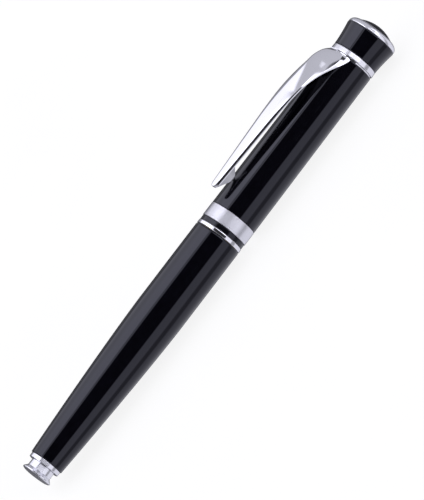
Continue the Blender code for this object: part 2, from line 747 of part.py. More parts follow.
def add_finial_bezel(collection):
    """A ring whose outside rounds over from the crown's rim to the jewel, on a spigot."""
    length = BEZEL_LENGTH - SEAT_GAP
    rim = CROWN_TOP_RADIUS - SEAT_GAP
    outline = [(0, BEZEL_SPIGOT_RADIUS), (BEZEL_SPIGOT_LENGTH, BEZEL_SPIGOT_RADIUS)]
    for i in range(BEZEL_CURVE_STEPS + 1):
        angle = math.pi / 2 * i / BEZEL_CURVE_STEPS
        along = BEZEL_SPIGOT_LENGTH + length * math.sin(angle)
        outline.append((along, JEWEL_RADIUS + (rim - JEWEL_RADIUS) * math.cos(angle)))
    outline += [(BEZEL_SPIGOT_LENGTH + length, BEZEL_BORE), (0, BEZEL_BORE)]
    turned("finial_bezel", BEZEL_X - BEZEL_SPIGOT_LENGTH, outline, "chrome", collection)


def add_finial_jewel(collection):
    """A low dome, with a spigot that fills the bezel."""
    spigot = BEZEL_BORE - SEAT_GAP
    base = BEZEL_SPIGOT_LENGTH + BEZEL_LENGTH
    sphere = (JEWEL_RADIUS**2 + JEWEL_HEIGHT**2) / (2 * JEWEL_HEIGHT)
    half_angle = math.degrees(math.asin(JEWEL_RADIUS / sphere))
    outline = [(0, 0), (0, spigot), (base, spigot)]
    outline += arc((base + JEWEL_HEIGHT - sphere, 0), sphere, 90 - half_angle, 90, JEWEL_CURVE_STEPS)
    outline[-1] = (base + JEWEL_HEIGHT, 0)
    turned("finial_jewel", BEZEL_X - BEZEL_SPIGOT_LENGTH, outline, "black_lacquer", collection)


# Clip


def clip_section(distance):
    """The clip's cross-section at this distance from its root, as a loop of (y, z) points.

    Across the top it is a crowned face between two creases. From each crease a flank runs down and out
    to the edge. The underside is the same shape a wall lower. It never goes below the cap's surface,
    and near the tip it bulges down into the pad.
    """
    x = HINGE_X - distance
    along = distance / CLIP_LENGTH
    rise = 1 - math.exp(-distance / CLIP_RISE_LENGTH)
    crest = CLIP_ROOT_CREST + CLIP_RISE * rise - CLIP_FALL * along**2
    root_angle = math.radians(CLIP_ROOT_ANGLE)
    root_radius = CAP_TOP_RADIUS + SEAT_GAP + CLIP_ROOT_EDGE_WALL
    straight_root = root_radius * math.sin(root_angle) - CLIP_ROOT_FLARE
    edge_y = straight_root + (CLIP_TIP_HALF_WIDTH - straight_root) * along
    edge_y += CLIP_ROOT_FLARE * math.exp(-distance / CLIP_ROOT_FLARE_LENGTH)
    lift = 1 - math.exp(-((distance / CLIP_EDGE_LIFT_LENGTH) ** CLIP_EDGE_LIFT_POWER))
    edge_z = root_radius * math.cos(root_angle) + CLIP_EDGE_LIFT * lift
    flank = CLIP_FLANK
    flank += CLIP_ROOT_FLANK * math.exp(-((distance / CLIP_ROOT_FLANK_LENGTH) ** CLIP_FLANK_POWER))
    crease_y = edge_y - CLIP_CREASE_INSET * math.exp(-distance / CLIP_CREASE_LENGTH)
    crease_z = edge_z + flank

    left = CLIP_LENGTH - distance
    if left < CLIP_TIP_ROUND:
        share = math.sqrt(1 - (1 - left / CLIP_TIP_ROUND) ** 2)
        width = CLIP_END_SHARE + (1 - CLIP_END_SHARE) * share
        edge_y *= width
        crease_y *= width

    top = []
    under = []
    for i in range(CLIP_TOP_STEPS + 1):
        across = 2 * i / CLIP_TOP_STEPS - 1
        fall = (crest - crease_z) * abs(across) ** CLIP_CROWN_POWER
        top.append((crease_y * across, crest - fall))
        keel = pad_share(distance) * min(1, max(0, 1 - (abs(across) - PAD_FLAT_SHARE) / PAD_WALL_SHARE))
        z = crest - fall - CLIP_WALL
        z += (cap_radius(x) + SEAT_GAP - z) * keel
        under.append(above_cap(x, (crease_y - CLIP_WALL / 2) * across, z))
    outer = [(-edge_y, edge_z)] + top + [(edge_y, edge_z)]
    inner = [above_cap(x, CLIP_WALL - edge_y, edge_z)]
    inner += under
    inner.append(above_cap(x, edge_y - CLIP_WALL, edge_z))
    return outer + inner[::-1]


def pad_share(distance):
    """0 where the clip has no pad, rising to 1 where the pad rests on the cap."""
    left = CLIP_LENGTH - distance
    if left >= PAD_START or left <= PAD_END:
        return 0.0
    if left > PAD_CONTACT:
        return (PAD_START - left) / (PAD_START - PAD_CONTACT)
    return (left - PAD_END) / (PAD_CONTACT - PAD_END)


def above_cap(x, y, z):
    """The point (y, z), moved straight out from the axis where it would be inside the cap."""
    least = cap_radius(x) / math.cos(FLAT_TURN) + SEAT_GAP
    reach = math.hypot(y, z)
    if reach >= least:
        return (y, z)
    return (y * least / reach, z * least / reach)


def clip_stations():
    """Sections stand closest together where the clip curves most: at its root, its pad and its tip."""
    stations = []
    for i in range(CLIP_ROOT_STEPS + 1):
        stations.append(CLIP_ROOT_REACH * (i / CLIP_ROOT_STEPS) ** CLIP_ROOT_SPREAD)
    arm = CLIP_LENGTH - PAD_START - CLIP_ROOT_REACH
    for i in range(1, CLIP_ARM_STEPS + 1):
        stations.append(CLIP_ROOT_REACH + arm * i / CLIP_ARM_STEPS)
    ahead = [(PAD_START + PAD_CONTACT) / 2, PAD_CONTACT, (PAD_CONTACT + PAD_END) / 2, PAD_END]
    ahead += [CLIP_TIP_ROUND, CLIP_TIP_ROUND / 4, 0]
    stations += [CLIP_LENGTH - left for left in ahead]
    return sorted(stations)


def add_clip(collection):
    """A loft through the clip's sections, closed at both ends. Its origin is on the hinge line."""
    shape = bmesh.new()
    rings = []
    for distance in clip_stations():
        ring = [shape.verts.new((-distance, y, z - HINGE_Z)) for y, z in clip_section(distance)]
        rings.append(ring)
    for near, far in zip(rings, rings[1:]):
        for i in range(len(near)):
            j = (i + 1) % len(near)
            shape.faces.new((near[i], near[j], far[j], far[i]))
    for ring in (rings[0][::-1], rings[-1]):
        for i in range(len(ring) // 2 - 1):
            shape.faces.new((ring[i], ring[i + 1], ring[-2 - i], ring[-1 - i]))
    bmesh.ops.recalc_face_normals(shape, faces=shape.faces)
    mesh = bpy.data.meshes.new("clip")
    shape.to_mesh(mesh)
    shape.free()
    mesh.shade_smooth()
    mesh.set_sharp_from_angle(angle=math.radians(CLIP_SHARP_ANGLE))
    mesh.materials.append(part_material("clip", "chrome"))
    obj = bpy.data.objects.new("clip", mesh)
    obj.location = (HINGE_X, 0, HINGE_Z)
    collection.objects.link(obj)


def main():
    clear_scene()
    pen = new_collection("rollerball_pen")
    cutters = new_collection("cutters")
    add_tail_button(pen)
    add_tail_ring(pen)
    add_tail_screw(pen)
    add_barrel_tube(pen)
    add_barrel_bush(pen)
    add_barrel_trim_ring(pen)
    add_barrel_collar(pen)
    add_refill_spring(pen)
    add_refill_plug(pen)
    add_refill_tube(pen)
    add_ink_reservoir(pen)
    add_refill_feed(pen)
    add_refill_tip(pen)
    add_refill_ball(pen)
    add_section_coupling(pen)
    add_section_ring(pen)
    add_section_sleeve(pen)
    add_nose_cone(pen)
    add_cap_lip_band(pen)
    add_cap_tube(pen)
    add_inner_cap(pen)
    add_cap_bush(pen)
    add_clip_washer(pen, cutters)
    add_clip_trim_ring(pen)
    add_finial_screw(pen)
    add_finial_crown(pen)
    add_finial_bezel(pen)
    add_finial_jewel(pen)
    add_clip(pen)


main()
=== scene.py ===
"""The finished look of a capped rollerball pen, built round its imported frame.

Lengths are in millimetres and become metres where a mesh is made. X runs along the pen from its tail to
its crown, and Z goes up through the clip. The stations come from the frame's boxes.
"""

import json
import math

import bpy
import numpy as np
from mathutils import Matrix, Vector


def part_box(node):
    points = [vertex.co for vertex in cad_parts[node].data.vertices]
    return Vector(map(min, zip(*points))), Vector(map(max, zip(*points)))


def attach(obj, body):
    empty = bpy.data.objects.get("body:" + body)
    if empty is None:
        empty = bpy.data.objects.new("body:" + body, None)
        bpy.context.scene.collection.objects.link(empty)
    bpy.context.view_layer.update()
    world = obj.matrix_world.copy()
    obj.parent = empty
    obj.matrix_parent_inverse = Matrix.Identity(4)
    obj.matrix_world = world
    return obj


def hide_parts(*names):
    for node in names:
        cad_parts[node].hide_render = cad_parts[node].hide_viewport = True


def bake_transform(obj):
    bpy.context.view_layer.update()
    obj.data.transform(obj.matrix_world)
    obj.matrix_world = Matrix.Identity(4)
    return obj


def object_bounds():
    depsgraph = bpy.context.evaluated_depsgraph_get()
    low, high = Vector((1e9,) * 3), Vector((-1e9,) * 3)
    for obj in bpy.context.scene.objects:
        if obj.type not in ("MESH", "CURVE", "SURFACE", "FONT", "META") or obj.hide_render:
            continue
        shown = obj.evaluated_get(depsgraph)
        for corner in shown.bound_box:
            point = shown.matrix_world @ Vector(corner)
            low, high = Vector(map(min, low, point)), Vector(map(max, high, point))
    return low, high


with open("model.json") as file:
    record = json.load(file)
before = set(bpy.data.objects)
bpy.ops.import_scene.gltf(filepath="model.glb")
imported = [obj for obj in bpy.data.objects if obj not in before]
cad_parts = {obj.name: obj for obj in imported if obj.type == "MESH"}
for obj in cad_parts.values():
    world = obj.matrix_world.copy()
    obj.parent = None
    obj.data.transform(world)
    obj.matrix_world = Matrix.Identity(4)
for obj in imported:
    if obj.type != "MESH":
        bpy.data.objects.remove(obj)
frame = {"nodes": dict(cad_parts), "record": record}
cad_low, cad_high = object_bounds()

MM = 0.001

# How finely the surfaces are divided
ROUND = 192  # steps round a turned piece
FILLET_STEPS = 5
FILLET_SHARE = 0.3  # the most that a fillet takes of a profile's side
GUARD = 1.4  # where a fillet's guard points stand, in fillet lengths from the corner
THREAD_ROWS = 12  # rows to one turn of a thread
SPRING_STEPS = 40  # steps to one turn of the spring
WIRE_STEPS = 14  # steps round the spring's wire
SAME_POINT = 1e-5
AROUND = np.linspace(2 * math.pi, 0, ROUND, endpoint=False)  # falls, so that faces point out

# The frame's solids have 24 flat sides, and their boxes reach to the flats
FLAT = math.cos(math.pi / 24)

# Rounded edges, from the softest to the sharpest
SOFT_EDGE = 0.2
EDGE = 0.12
SMALL_EDGE = 0.1
FINE_EDGE = 0.05
INNER_EDGE = 0.03
GROOVE_EDGE = 0.02

# Sizes that the boxes don't give
GAP = 0.05

TAIL_FLAT_RADIUS = 2.6
TAIL_RIM_DEPTH = 0.4
TAIL_RIM_TURN = math.radians(70)
TAIL_RIM_END = 0.6
TAIL_CONE_END = 1.4
TAIL_NECK_RADIUS = 3.24
TAIL_HOLE_RADIUS = 1.25
TAIL_HOLE_START = 1.65
TAIL_SCREW_RADIUS = 1.2
TAIL_SCREW_HEAD = 1.5

BARREL_STRAIGHT = 23.0
BARREL_SWELL = 1.42
BARREL_WALL = 0.82
BARREL_END_WALL = 1.2
BARREL_TAIL_RADIUS = 4.47
BARREL_SHOULDER = 0.4
BARREL_GUARD = 0.55  # keeps the barrel's side flat up to its shoulder
BARREL_RING_BORE = 5.48

THREAD_PITCH = 0.75
THREAD_DEPTH = 0.32
THREAD_FADE = 0.4
THREAD_FADE_START = 0.15
BUSH_BORE = 4.28
COUPLING_THREADED = 4.5
COUPLING_SPIGOT = 3.75
COUPLING_BORE = 3.2

SPRING_WIRE = 0.225
SPRING_RADIUS = 2.0
SPRING_TURNS = 8
SPRING_END_PITCH = 0.52

REFILL_BORE = 2.75
PLUG_RADIUS = 2.7
PLUG_RIM = 0.5
FEED_SHOULDER = 4.4
FEED_NECK_RADIUS = 1.25
TIP_HELD = 1.9
TIP_HELD_RADIUS = 0.7
TIP_RADIUS = 1.15
TIP_POINT = 1.1
TIP_POINT_RADIUS = 0.66
TIP_MOUTH_RADIUS = 0.48
BALL_RADIUS = 0.35
BALL_PLAY = 0.03

SECTION_RING_BORE = 3.8
GRIP_FRONT_RADIUS = 4.05
GRIP_FRONT_BORE = 3.43
GRIP_SPIGOT_HELD = 7.35
NOSE_HELD = 3.0
NOSE_HELD_RADIUS = 3.38
NOSE_BORE = 3.08
NOSE_BORE_LENGTH = 6.5
NOSE_TIP_RADIUS = 1.75
NOSE_MOUTH_RADIUS = 1.35

BODY_RADIUS = 6.3
CAP_END_RADIUS = 6.1
CAP_SPIGOT_RADIUS = 5.7
CAP_BORE = 5.2
BAND_GROOVE = 0.42
BAND_GROOVE_DEPTH = 0.04
LINER_BORE = 4.7
LINER_CLOSED_BORE = 3.65
LINER_CLOSED_RADIUS = 4.1
LINER_NARROWS = 5.0
LINER_TAPER = 8.0
LINER_END_WALL = 0.6
STUD_HOLE = 1.55

CROWN_BASE_RADIUS = 6.14
CROWN_SWELL = 1.5
CROWN_RIM_EDGE = 0.23
CROWN_SOCKET_DEPTH = 1.25
CROWN_SOCKET_RADIUS = 4.95
BEZEL_SEAT = 1.2
BEZEL_SPIGOT = 4.9
BEZEL_BORE = 4.4
JEWEL_RADIUS = 4.9
JEWEL_FOOT_RADIUS = 4.35

CLIP_LENGTH = 44.85
CLIP_WALL = 0.5
CLIP_ROOT_ANGLE = math.radians(54)
CLIP_ROOT_THICKNESS = 0.38
CLIP_ROOT_EDGE = 0.273
CLIP_RISE = 3.45
CLIP_RISE_LENGTH = 2.0
CLIP_FALL = 0.08
CLIP_ARM_RIDGE = 0.42
CLIP_TIP_HALF_WIDTH = 1.3
CLIP_EDGE_RISE = 5.62
CLIP_EDGE_RISE_LENGTH = 7.6
CLIP_FLANK = 0.35
CLIP_ROOT_FLANK = 1.4
CLIP_ROOT_FOLD_IN = 1.75
BEVEL_OUT = 0.34
BEVEL_DOWN = 0.52
PAD_FRONT = 8.4
PAD_HALF_WIDTH = 0.42
PAD_SIDE = 0.06
CLIP_ROOT_LENGTH = 16
CLIP_PAD_LENGTH = 8
CLIP_TIP_LENGTH = 1.3
CLIP_SIDE_STEPS = 4


def station(node):
    """The first and last station of a node along the pen, and its outside radius, in millimetres."""
    low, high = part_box(node)
    return low[0] / MM, high[0] / MM, high[1] / MM / FLAT


def blank_object(name, verts, faces, smooth_angle=None):
    """A mesh object at the origin from points in millimetres, shaded smooth."""
    mesh = bpy.data.meshes.new(name)
    mesh.from_pydata((np.asarray(verts) * MM).tolist(), [], faces)
    mesh.validate()
    mesh.shade_smooth()
    if smooth_angle is not None:
        mesh.set_sharp_from_angle(angle=math.radians(smooth_angle))
    obj = bpy.data.objects.new(name, mesh)
    bpy.context.scene.collection.objects.link(obj)
    return obj


# Profiles


def rounded(corners, closed=False):
    """A polyline whose corners are rounded.

    Each corner is (station, radius, fillet). With p the corner, u and v the unit directions to its two
    neighbours and h half the angle between them, the arc's centre is p + (u + v) / |u + v| * f / sin h,
    and it starts f / tan h from p on each side. A point a little further out on each side keeps the
    flats flat when the surface is shaded.
    """
    table = np.array([c if len(c) == 3 else (*c, EDGE) for c in corners], float)
    points, fillet = table[:, :2], table[:, 2]
    before, after = np.roll(points, 1, axis=0), np.roll(points, -1, axis=0)
    u, v = before - points, after - points
    lu = np.maximum(np.linalg.norm(u, axis=1), 1e-9)
    lv = np.maximum(np.linalg.norm(v, axis=1), 1e-9)
    u, v = u / lu[:, None], v / lv[:, None]
    half = np.arccos(np.clip((u * v).sum(1), -1, 1)) / 2
    half = np.clip(half, 0.05, math.pi / 2 - 1e-4)
    reach = np.minimum(fillet / np.tan(half), FILLET_SHARE * np.minimum(lu, lv))
    sweep = math.pi / 2 - half
    share = np.linspace(-1, 1, FILLET_STEPS + 1)
    middle = u + v
    middle /= np.maximum(np.linalg.norm(middle, axis=1), 1e-9)[:, None]
    radius = reach * np.tan(half)
    centre = points + middle * (radius / np.sin(half))[:, None]
    side = u - v
    side /= np.maximum(np.linalg.norm(side, axis=1), 1e-9)[:, None]
    angle = -share[None, :] * sweep[:, None]
    arc = centre[:, None, :] + radius[:, None, None] * (
        np.sin(angle)[..., None] * side[:, None, :] - np.cos(angle)[..., None] * middle[:, None, :]
    )
    guard_in = points + u * (reach * GUARD)[:, None]
    guard_out = points + v * (reach * GUARD)[:, None]
    rows = np.concatenate([guard_in[:, None], arc, guard_out[:, None]], axis=1)
    sharp = fillet <= 0
    if not closed:
        sharp[[0, -1]] = True
    pieces = [points[i : i + 1] if sharp[i] else rows[i] for i in range(len(points))]
    return np.concatenate(pieces)


def arc(first, last, steps):
    """Points (sin a, cos a) for the angles from first to last, in degrees."""
    a = np.radians(np.linspace(first, last, steps))
    return np.stack([np.sin(a), np.cos(a)], 1)


def round_axis(s, radius):
    """A row of points for each station s: radius r and angle a go to (s, r sin a, r cos a)."""
    across = radius * np.sin(AROUND)
    return np.stack([np.broadcast_to(s[:, None], across.shape), across, radius * np.cos(AROUND)], -1)


def turned(name, profile, closed=False):
    """A profile turned about the pen's axis. Its outside runs from tail to crown.

    A closed profile is a ring with a bore. An open one starts and ends on the axis, where the turned
    points run together into one.
    """
    s, r = np.asarray(profile, float).T
    keep = np.ones(len(s), bool)
    keep[1:] = np.hypot(np.diff(s), np.diff(r)) > SAME_POINT
    return loft(name, round_axis(s[keep], r[keep, None]), closed)


def loft(name, grid, closed=False, smooth_angle=None):
    """A skin over a grid of rows that each close round on themselves. Rows join the first to the last
    if closed, and otherwise the first and last rows shrink to a point each."""
    rows, columns = grid.shape[:2]
    if closed:
        index = np.arange(rows * columns).reshape(rows, columns)
        verts = grid.reshape(-1, 3)
        below = np.roll(index, -1, axis=0)
    else:
        index = np.arange((rows - 2) * columns).reshape(rows - 2, columns) + 2
        verts = np.concatenate([grid[:1].mean(axis=1), grid[-1:].mean(axis=1), grid[1:-1].reshape(-1, 3)])
        below = index[1:]
        index = index[:-1]
    quads = np.stack(
        [index, np.roll(index, -1, axis=1), np.roll(below, -1, axis=1), below], axis=-1
    ).reshape(-1, 4)
    faces = quads.tolist()
    if not closed:
        first = np.arange(columns) + 2
        last = first + (rows - 3) * columns
        faces += np.stack([np.zeros(columns, int), np.roll(first, -1), first], axis=-1).tolist()
        faces += np.stack([np.ones(columns, int), last, np.roll(last, -1)], axis=-1).tolist()
    return blank_object(name, verts, faces, smooth_angle)


def shell(name, grid, smooth_angle):
    """A bent plate: the first half of each row is its outside and the second half its inside, taken back
    again. Rows are joined as in a loft, and the two ends are closed between outside and inside."""
    rows, columns = grid.shape[:2]
    index = np.arange(rows * columns).reshape(rows, columns)
    above, below = index[:-1], index[1:]
    quads = np.stack([above, np.roll(above, -1, axis=1), np.roll(below, -1, axis=1), below], axis=-1)
    outside = np.arange(columns // 2 - 1)
    face = np.stack([outside + 1, outside, columns - 1 - outside, columns - 2 - outside], axis=-1)
    ends = [index[0][face], index[-1][face[:, ::-1]]]
    faces = np.concatenate([quads.reshape(-1, 4), *ends]).tolist()
    return blank_object(name, grid.reshape(-1, 3), faces, smooth_angle)


# Shader node groups and materials


def new_group(name, inputs, outputs):
    """An empty shader node group with float inputs and outputs, and its two end nodes."""
    group = bpy.data.node_groups.new(name, "ShaderNodeTree")
    for label, value in inputs.items():
        socket = group.interface.new_socket(label, in_out="INPUT", socket_type="NodeSocketFloat")
        socket.default_value = value
    for label in outputs:
        group.interface.new_socket(label, in_out="OUTPUT", socket_type="NodeSocketFloat")
    return group, group.nodes.new("NodeGroupInput"), group.nodes.new("NodeGroupOutput")


class Wiring:
    """Short ways to add nodes to a node tree and join them."""

    def __init__(self, tree):
        self.tree = tree

    def node(self, kind, **settings):
        """A new node with its settings."""
        made = self.tree.nodes.new(kind)
        for key, value in settings.items():
            setattr(made, key, value)
        return made

    def join(self, source, target):
        """A link from an output to an input."""
        self.tree.links.new(source, target)

    def value(self, socket, source):
        """Sets a socket to a number, or joins another node's output to it."""
        if isinstance(source, (int, float)):
            socket.default_value = source
        else:
            self.join(source, socket)

    def math(self, operation, first, second):
        """One sum of two outputs or numbers."""
        made = self.node("ShaderNodeMath", operation=operation)
        for socket, source in zip(made.inputs, (first, second)):
            self.value(socket, source)
        return made.outputs[0]

    def place(self, scale, turn=(0, 0, 0)):
        """The object's own coordinates, stretched by scale and turned."""
        coordinates = self.node("ShaderNodeTexCoord")
        mapping = self.node("ShaderNodeMapping")
        mapping.inputs["Scale"].default_value = scale
        mapping.inputs["Rotation"].default_value = turn
        self.join(coordinates.outputs["Object"], mapping.inputs["Vector"])
        return mapping.outputs["Vector"]

    def noise(self, vector, scale, detail=2.0, roughness=0.5):
        """Smooth noise from 0 to 1."""
        made = self.node("ShaderNodeTexNoise")
        self.value(made.inputs["Scale"], scale)
        made.inputs["Detail"].default_value = detail
        made.inputs["Roughness"].default_value = roughness
        self.join(vector, made.inputs["Vector"])
        return made.outputs["Fac"]

    def spread(self, source, low, high, to_low=0.0, to_high=1.0):
        """The range from low to high, stretched over the range from to_low to to_high."""
        made = self.node("ShaderNodeMapRange")
        self.join(source, made.inputs["Value"])
        for label, number in (("From Min", low), ("From Max", high)):
            made.inputs[label].default_value = number
        self.value(made.inputs["To Min"], to_low)
        self.value(made.inputs["To Max"], to_high)
        return made.outputs["Result"]


def make_handling_group():
    """Handling marks: sparse fine scratches in three directions, and a soft haze of smudges."""
    group, ends, out = new_group("handling_marks", {"Scratches": 0.5, "Haze": 0.5}, ["Roughness", "Height"])
    w = Wiring(group)
    total = None
    thinness = 2600  # scratches to the metre, against the far fewer breaks along each
    for turn, stretch in (((0.2, 0.5, 0.3), 60), ((0.9, 0.2, 1.1), 45), ((1.6, 0.7, 2.2), 70)):
        lines = w.noise(w.place((stretch, thinness, thinness), turn), 1.0, 1.0)
        thin = w.spread(lines, 0.66, 0.74)
        total = thin if total is None else w.math("MAXIMUM", total, thin)
    patches = w.spread(w.noise(w.place((1, 1, 1)), 240.0, 2.0), 0.45, 0.7)
    marks = w.math("MULTIPLY", w.math("MULTIPLY", total, patches), ends.outputs["Scratches"])
    smudge = w.spread(w.noise(w.place((1, 1, 1)), 110.0, 4.0, 0.6), 0.35, 0.8)
    haze = w.math("MULTIPLY", smudge, ends.outputs["Haze"])
    w.join(w.math("ADD", marks, haze), out.inputs["Roughness"])
    w.join(w.math("MULTIPLY", marks, -1.0), out.inputs["Height"])
    return group


def make_turned_lines_group():
    """Lathe lines: noise that changes quickly along the pen and hardly at all round it."""
    group, ends, out = new_group("turned_lines", {"Fineness": 1.0, "Depth": 0.5}, ["Shade", "Height"])
    w = Wiring(group)
    scale = ends.outputs["Fineness"]
    coarse = w.noise(w.place((9000, 60, 60)), scale, 2.0, 0.6)
    fine = w.noise(w.place((26000, 140, 140)), scale, 2.0, 0.7)
    both = w.math("ADD", w.math("MULTIPLY", coarse, 0.6), w.math("MULTIPLY", fine, 0.4))
    w.join(both, out.inputs["Shade"])
    w.join(w.math("MULTIPLY", both, ends.outputs["Depth"]), out.inputs["Height"])
    return group


def make_ripple_group():
    """The faint waviness of a sprayed and polished coat."""
    group, ends, out = new_group("coat_ripple", {"Size": 1.0, "Height": 1.0}, ["Height"])
    w = Wiring(group)
    wave = w.noise(w.place((1, 1, 1)), w.math("MULTIPLY", ends.outputs["Size"], 420.0), 2.0, 0.4)
    w.join(w.math("MULTIPLY", wave, ends.outputs["Height"]), out.inputs["Height"])
    return group


def place_group(w, group, **inputs):
    """A node that uses a group, with its inputs set."""
    made = w.node("ShaderNodeGroup", node_tree=group)
    for label, value in inputs.items():
        w.value(made.inputs[label], value)
    return made


def new_material(name, colour, metallic, **constants):
    """A Principled material, its shader and a wiring helper. Constants go straight on the shader."""
    material = bpy.data.materials.new(name)
    material.use_nodes = True
    shader = material.node_tree.nodes["Principled BSDF"]
    shader.inputs["Base Color"].default_value = (*colour, 1.0)
    shader.inputs["Metallic"].default_value = metallic
    for label, value in constants.items():
        shader.inputs[label.replace("_", " ")].default_value = value
    return material, shader, Wiring(material.node_tree)


def add_bump(w, shader, height, strength, distance):
    """Bump from a height, on the shader's normal."""
    bump = w.node("ShaderNodeBump")
    bump.inputs["Strength"].default_value = strength
    bump.inputs["Distance"].default_value = distance
    w.join(height, bump.inputs["Height"])
    w.join(bump.outputs["Normal"], shader.inputs["Normal"])


def tint(w, shader, amount, dark, light):
    """Base colour between dark and light, by amount."""
    mix = w.node("ShaderNodeMix", data_type="RGBA")
    w.join(amount, mix.inputs["Factor"])
    mix.inputs["A"].default_value = (*dark, 1.0)
    mix.inputs["B"].default_value = (*light, 1.0)
    w.join(mix.outputs["Result"], shader.inputs["Base Color"])


# A clear gloss coat with a faintly blue reflection
GLOSS_COAT = {"IOR": 1.5, "Specular_Tint": (0.86, 0.87, 1.0, 1.0)}


def lacquer_material(marks, ripple):
    """Deep black lacquer: glossy, with a trace of ripple, haze and hairline scratches."""
    dark, light = (0.0008, 0.0006, 0.0018), (0.0018, 0.0016, 0.0034)
    material, shader, w = new_material("black_lacquer_gloss", light, 0.0, **GLOSS_COAT)
    used = place_group(w, marks, Scratches=0.06, Haze=0.03)
    w.join(w.math("ADD", used.outputs["Roughness"], 0.035), shader.inputs["Roughness"])
    depth = w.spread(w.noise(w.place((1, 1, 1)), 700.0, 3.0), 0.3, 0.7)
    tint(w, shader, depth, dark, light)
    wave = place_group(w, ripple, Size=1.0, Height=1.0)
    height = w.math("ADD", wave.outputs["Height"], w.math("MULTIPLY", used.outputs["Height"], 0.4))
    add_bump(w, shader, height, 0.02, 0.0001)
    return material


def chrome_material(marks, lines):
    """Polished chrome plate, with polishing lines and hairline scratches."""
    material, shader, w = new_material("polished_chrome", (0.86, 0.86, 0.90), 1.0)
    used = place_group(w, marks, Scratches=0.12, Haze=0.05)
    turned_lines = place_group(w, lines, Fineness=0.5, Depth=0.3)
    line_roughness = w.math("MULTIPLY", turned_lines.outputs["Shade"], 0.05)
    rough = w.math("ADD", used.outputs["Roughness"], line_roughness)
    w.join(w.math("ADD", rough, 0.03), shader.inputs["Roughness"])
    tint(w, shader, turned_lines.outputs["Shade"], (0.83, 0.83, 0.87), (0.90, 0.90, 0.93))
    add_bump(w, shader, used.outputs["Height"], 0.05, 0.00002)
    return material


def ring_material(name, rough_low, rough_high, spread, marks, lines):
    """Chrome with lathe lines round it, which draw its reflections out along the pen."""
    plate = {"Anisotropic": spread, "Anisotropic_Rotation": 0.25}
    material, shader, w = new_material(name, (0.86, 0.86, 0.90), 1.0, **plate)
    used = place_group(w, marks, Scratches=0.1, Haze=0.05)
    turned_lines = place_group(w, lines, Fineness=0.6, Depth=1.0)
    rough = w.spread(turned_lines.outputs["Shade"], 0.3, 0.7, rough_low, rough_high)
    w.join(w.math("ADD", rough, used.outputs["Roughness"]), shader.inputs["Roughness"])
    tint(w, shader, turned_lines.outputs["Shade"], (0.82, 0.82, 0.87), (0.92, 0.92, 0.95))
    add_bump(w, shader, turned_lines.outputs["Height"], 0.05, 0.00002)
    round_pen = w.node("ShaderNodeTangent", direction_type="RADIAL", axis="X")
    w.join(round_pen.outputs["Tangent"], shader.inputs["Tangent"])
    return material


def metal_material(name, dark, light, rough_low, rough_high, marks, lines):
    """A plain turned metal with lathe lines."""
    material, shader, w = new_material(name, light, 1.0)
    used = place_group(w, marks, Scratches=0.15, Haze=0.08)
    turned_lines = place_group(w, lines, Fineness=0.35, Depth=1.0)
    rough = w.spread(turned_lines.outputs["Shade"], 0.3, 0.7, rough_low, rough_high)
    w.join(w.math("ADD", rough, used.outputs["Roughness"]), shader.inputs["Roughness"])
    tint(w, shader, turned_lines.outputs["Shade"], dark, light)
    add_bump(w, shader, turned_lines.outputs["Height"], 0.15, 0.00003)
    return material


def moulded_material(name, dark, light, roughness, grain, marks, **constants):
    """A moulded plastic: a fine even grain, handling marks, and a colour that drifts a little."""
    material, shader, w = new_material(name, light, 0.0, **constants)
    used = place_group(w, marks, Scratches=0.15, Haze=0.10)
    w.join(w.math("ADD", used.outputs["Roughness"], roughness), shader.inputs["Roughness"])
    tint(w, shader, w.spread(w.noise(w.place((1, 1, 1)), 500.0, 4.0), 0.3, 0.7), dark, light)
    texture = w.noise(w.place((1, 1, 1)), 7000.0, 2.0)
    height = w.math("ADD", texture, used.outputs["Height"])
    add_bump(w, shader, height, grain, 0.00002)
    return material


def fibre_material():
    """Ink-soaked fibres that run along the pen."""
    material, shader, w = new_material("ink_fibre_rod", (0.03, 0.04, 0.2), 0.0)
    fibres = w.noise(w.place((300, 9000, 9000)), 1.0, 3.0)
    tint(w, shader, w.spread(fibres, 0.3, 0.7), (0.01, 0.012, 0.08), (0.05, 0.07, 0.32))
    w.join(w.spread(fibres, 0.3, 0.7, 0.75, 0.95), shader.inputs["Roughness"])
    add_bump(w, shader, fibres, 0.6, 0.00005)
    return material


def make_materials():
    """Every finish by the name of its material slot in the record."""
    marks = make_handling_group()
    lines = make_turned_lines_group()
    ripple = make_ripple_group()
    brass = ((0.60, 0.42, 0.17), (0.86, 0.66, 0.33), 0.2, 0.36)
    steel = ((0.45, 0.45, 0.47), (0.70, 0.70, 0.72), 0.2, 0.38)
    resin = ((0.001, 0.001, 0.002), (0.003, 0.003, 0.005), 0.06, 0.03)
    liner = ((0.012, 0.012, 0.013), (0.022, 0.022, 0.024), 0.42, 0.25)
    grey = ((0.50, 0.50, 0.48), (0.62, 0.62, 0.60), 0.34, 0.15)
    return {
        "black_lacquer": lacquer_material(marks, ripple),
        "chrome": chrome_material(marks, lines),
        "turned_chrome": ring_material("turned_chrome", 0.16, 0.24, 0.85, marks, lines),
        "satin_chrome": ring_material("satin_chrome_band", 0.34, 0.48, 0.9, marks, lines),
        "brass": metal_material("turned_brass", *brass, marks, lines),
        "steel": metal_material("drawn_steel", *steel, marks, lines),
        "black_resin": moulded_material("black_resin_gloss", *resin, marks, **GLOSS_COAT),
        "liner_plastic": moulded_material("liner_black", *liner, marks),
        "refill_plastic": moulded_material("refill_grey", *grey, marks),
        "ink_fibre": fibre_material(),
    }


SLOT_OF = {part["node"]: part["material_slot"] for part in frame["record"]["subparts"]}
BODIES = frame["record"]["behaviour"]["bodies"]
BODY_OF = {node: body for body, nodes in BODIES.items() for node in nodes}
finishes = make_materials()


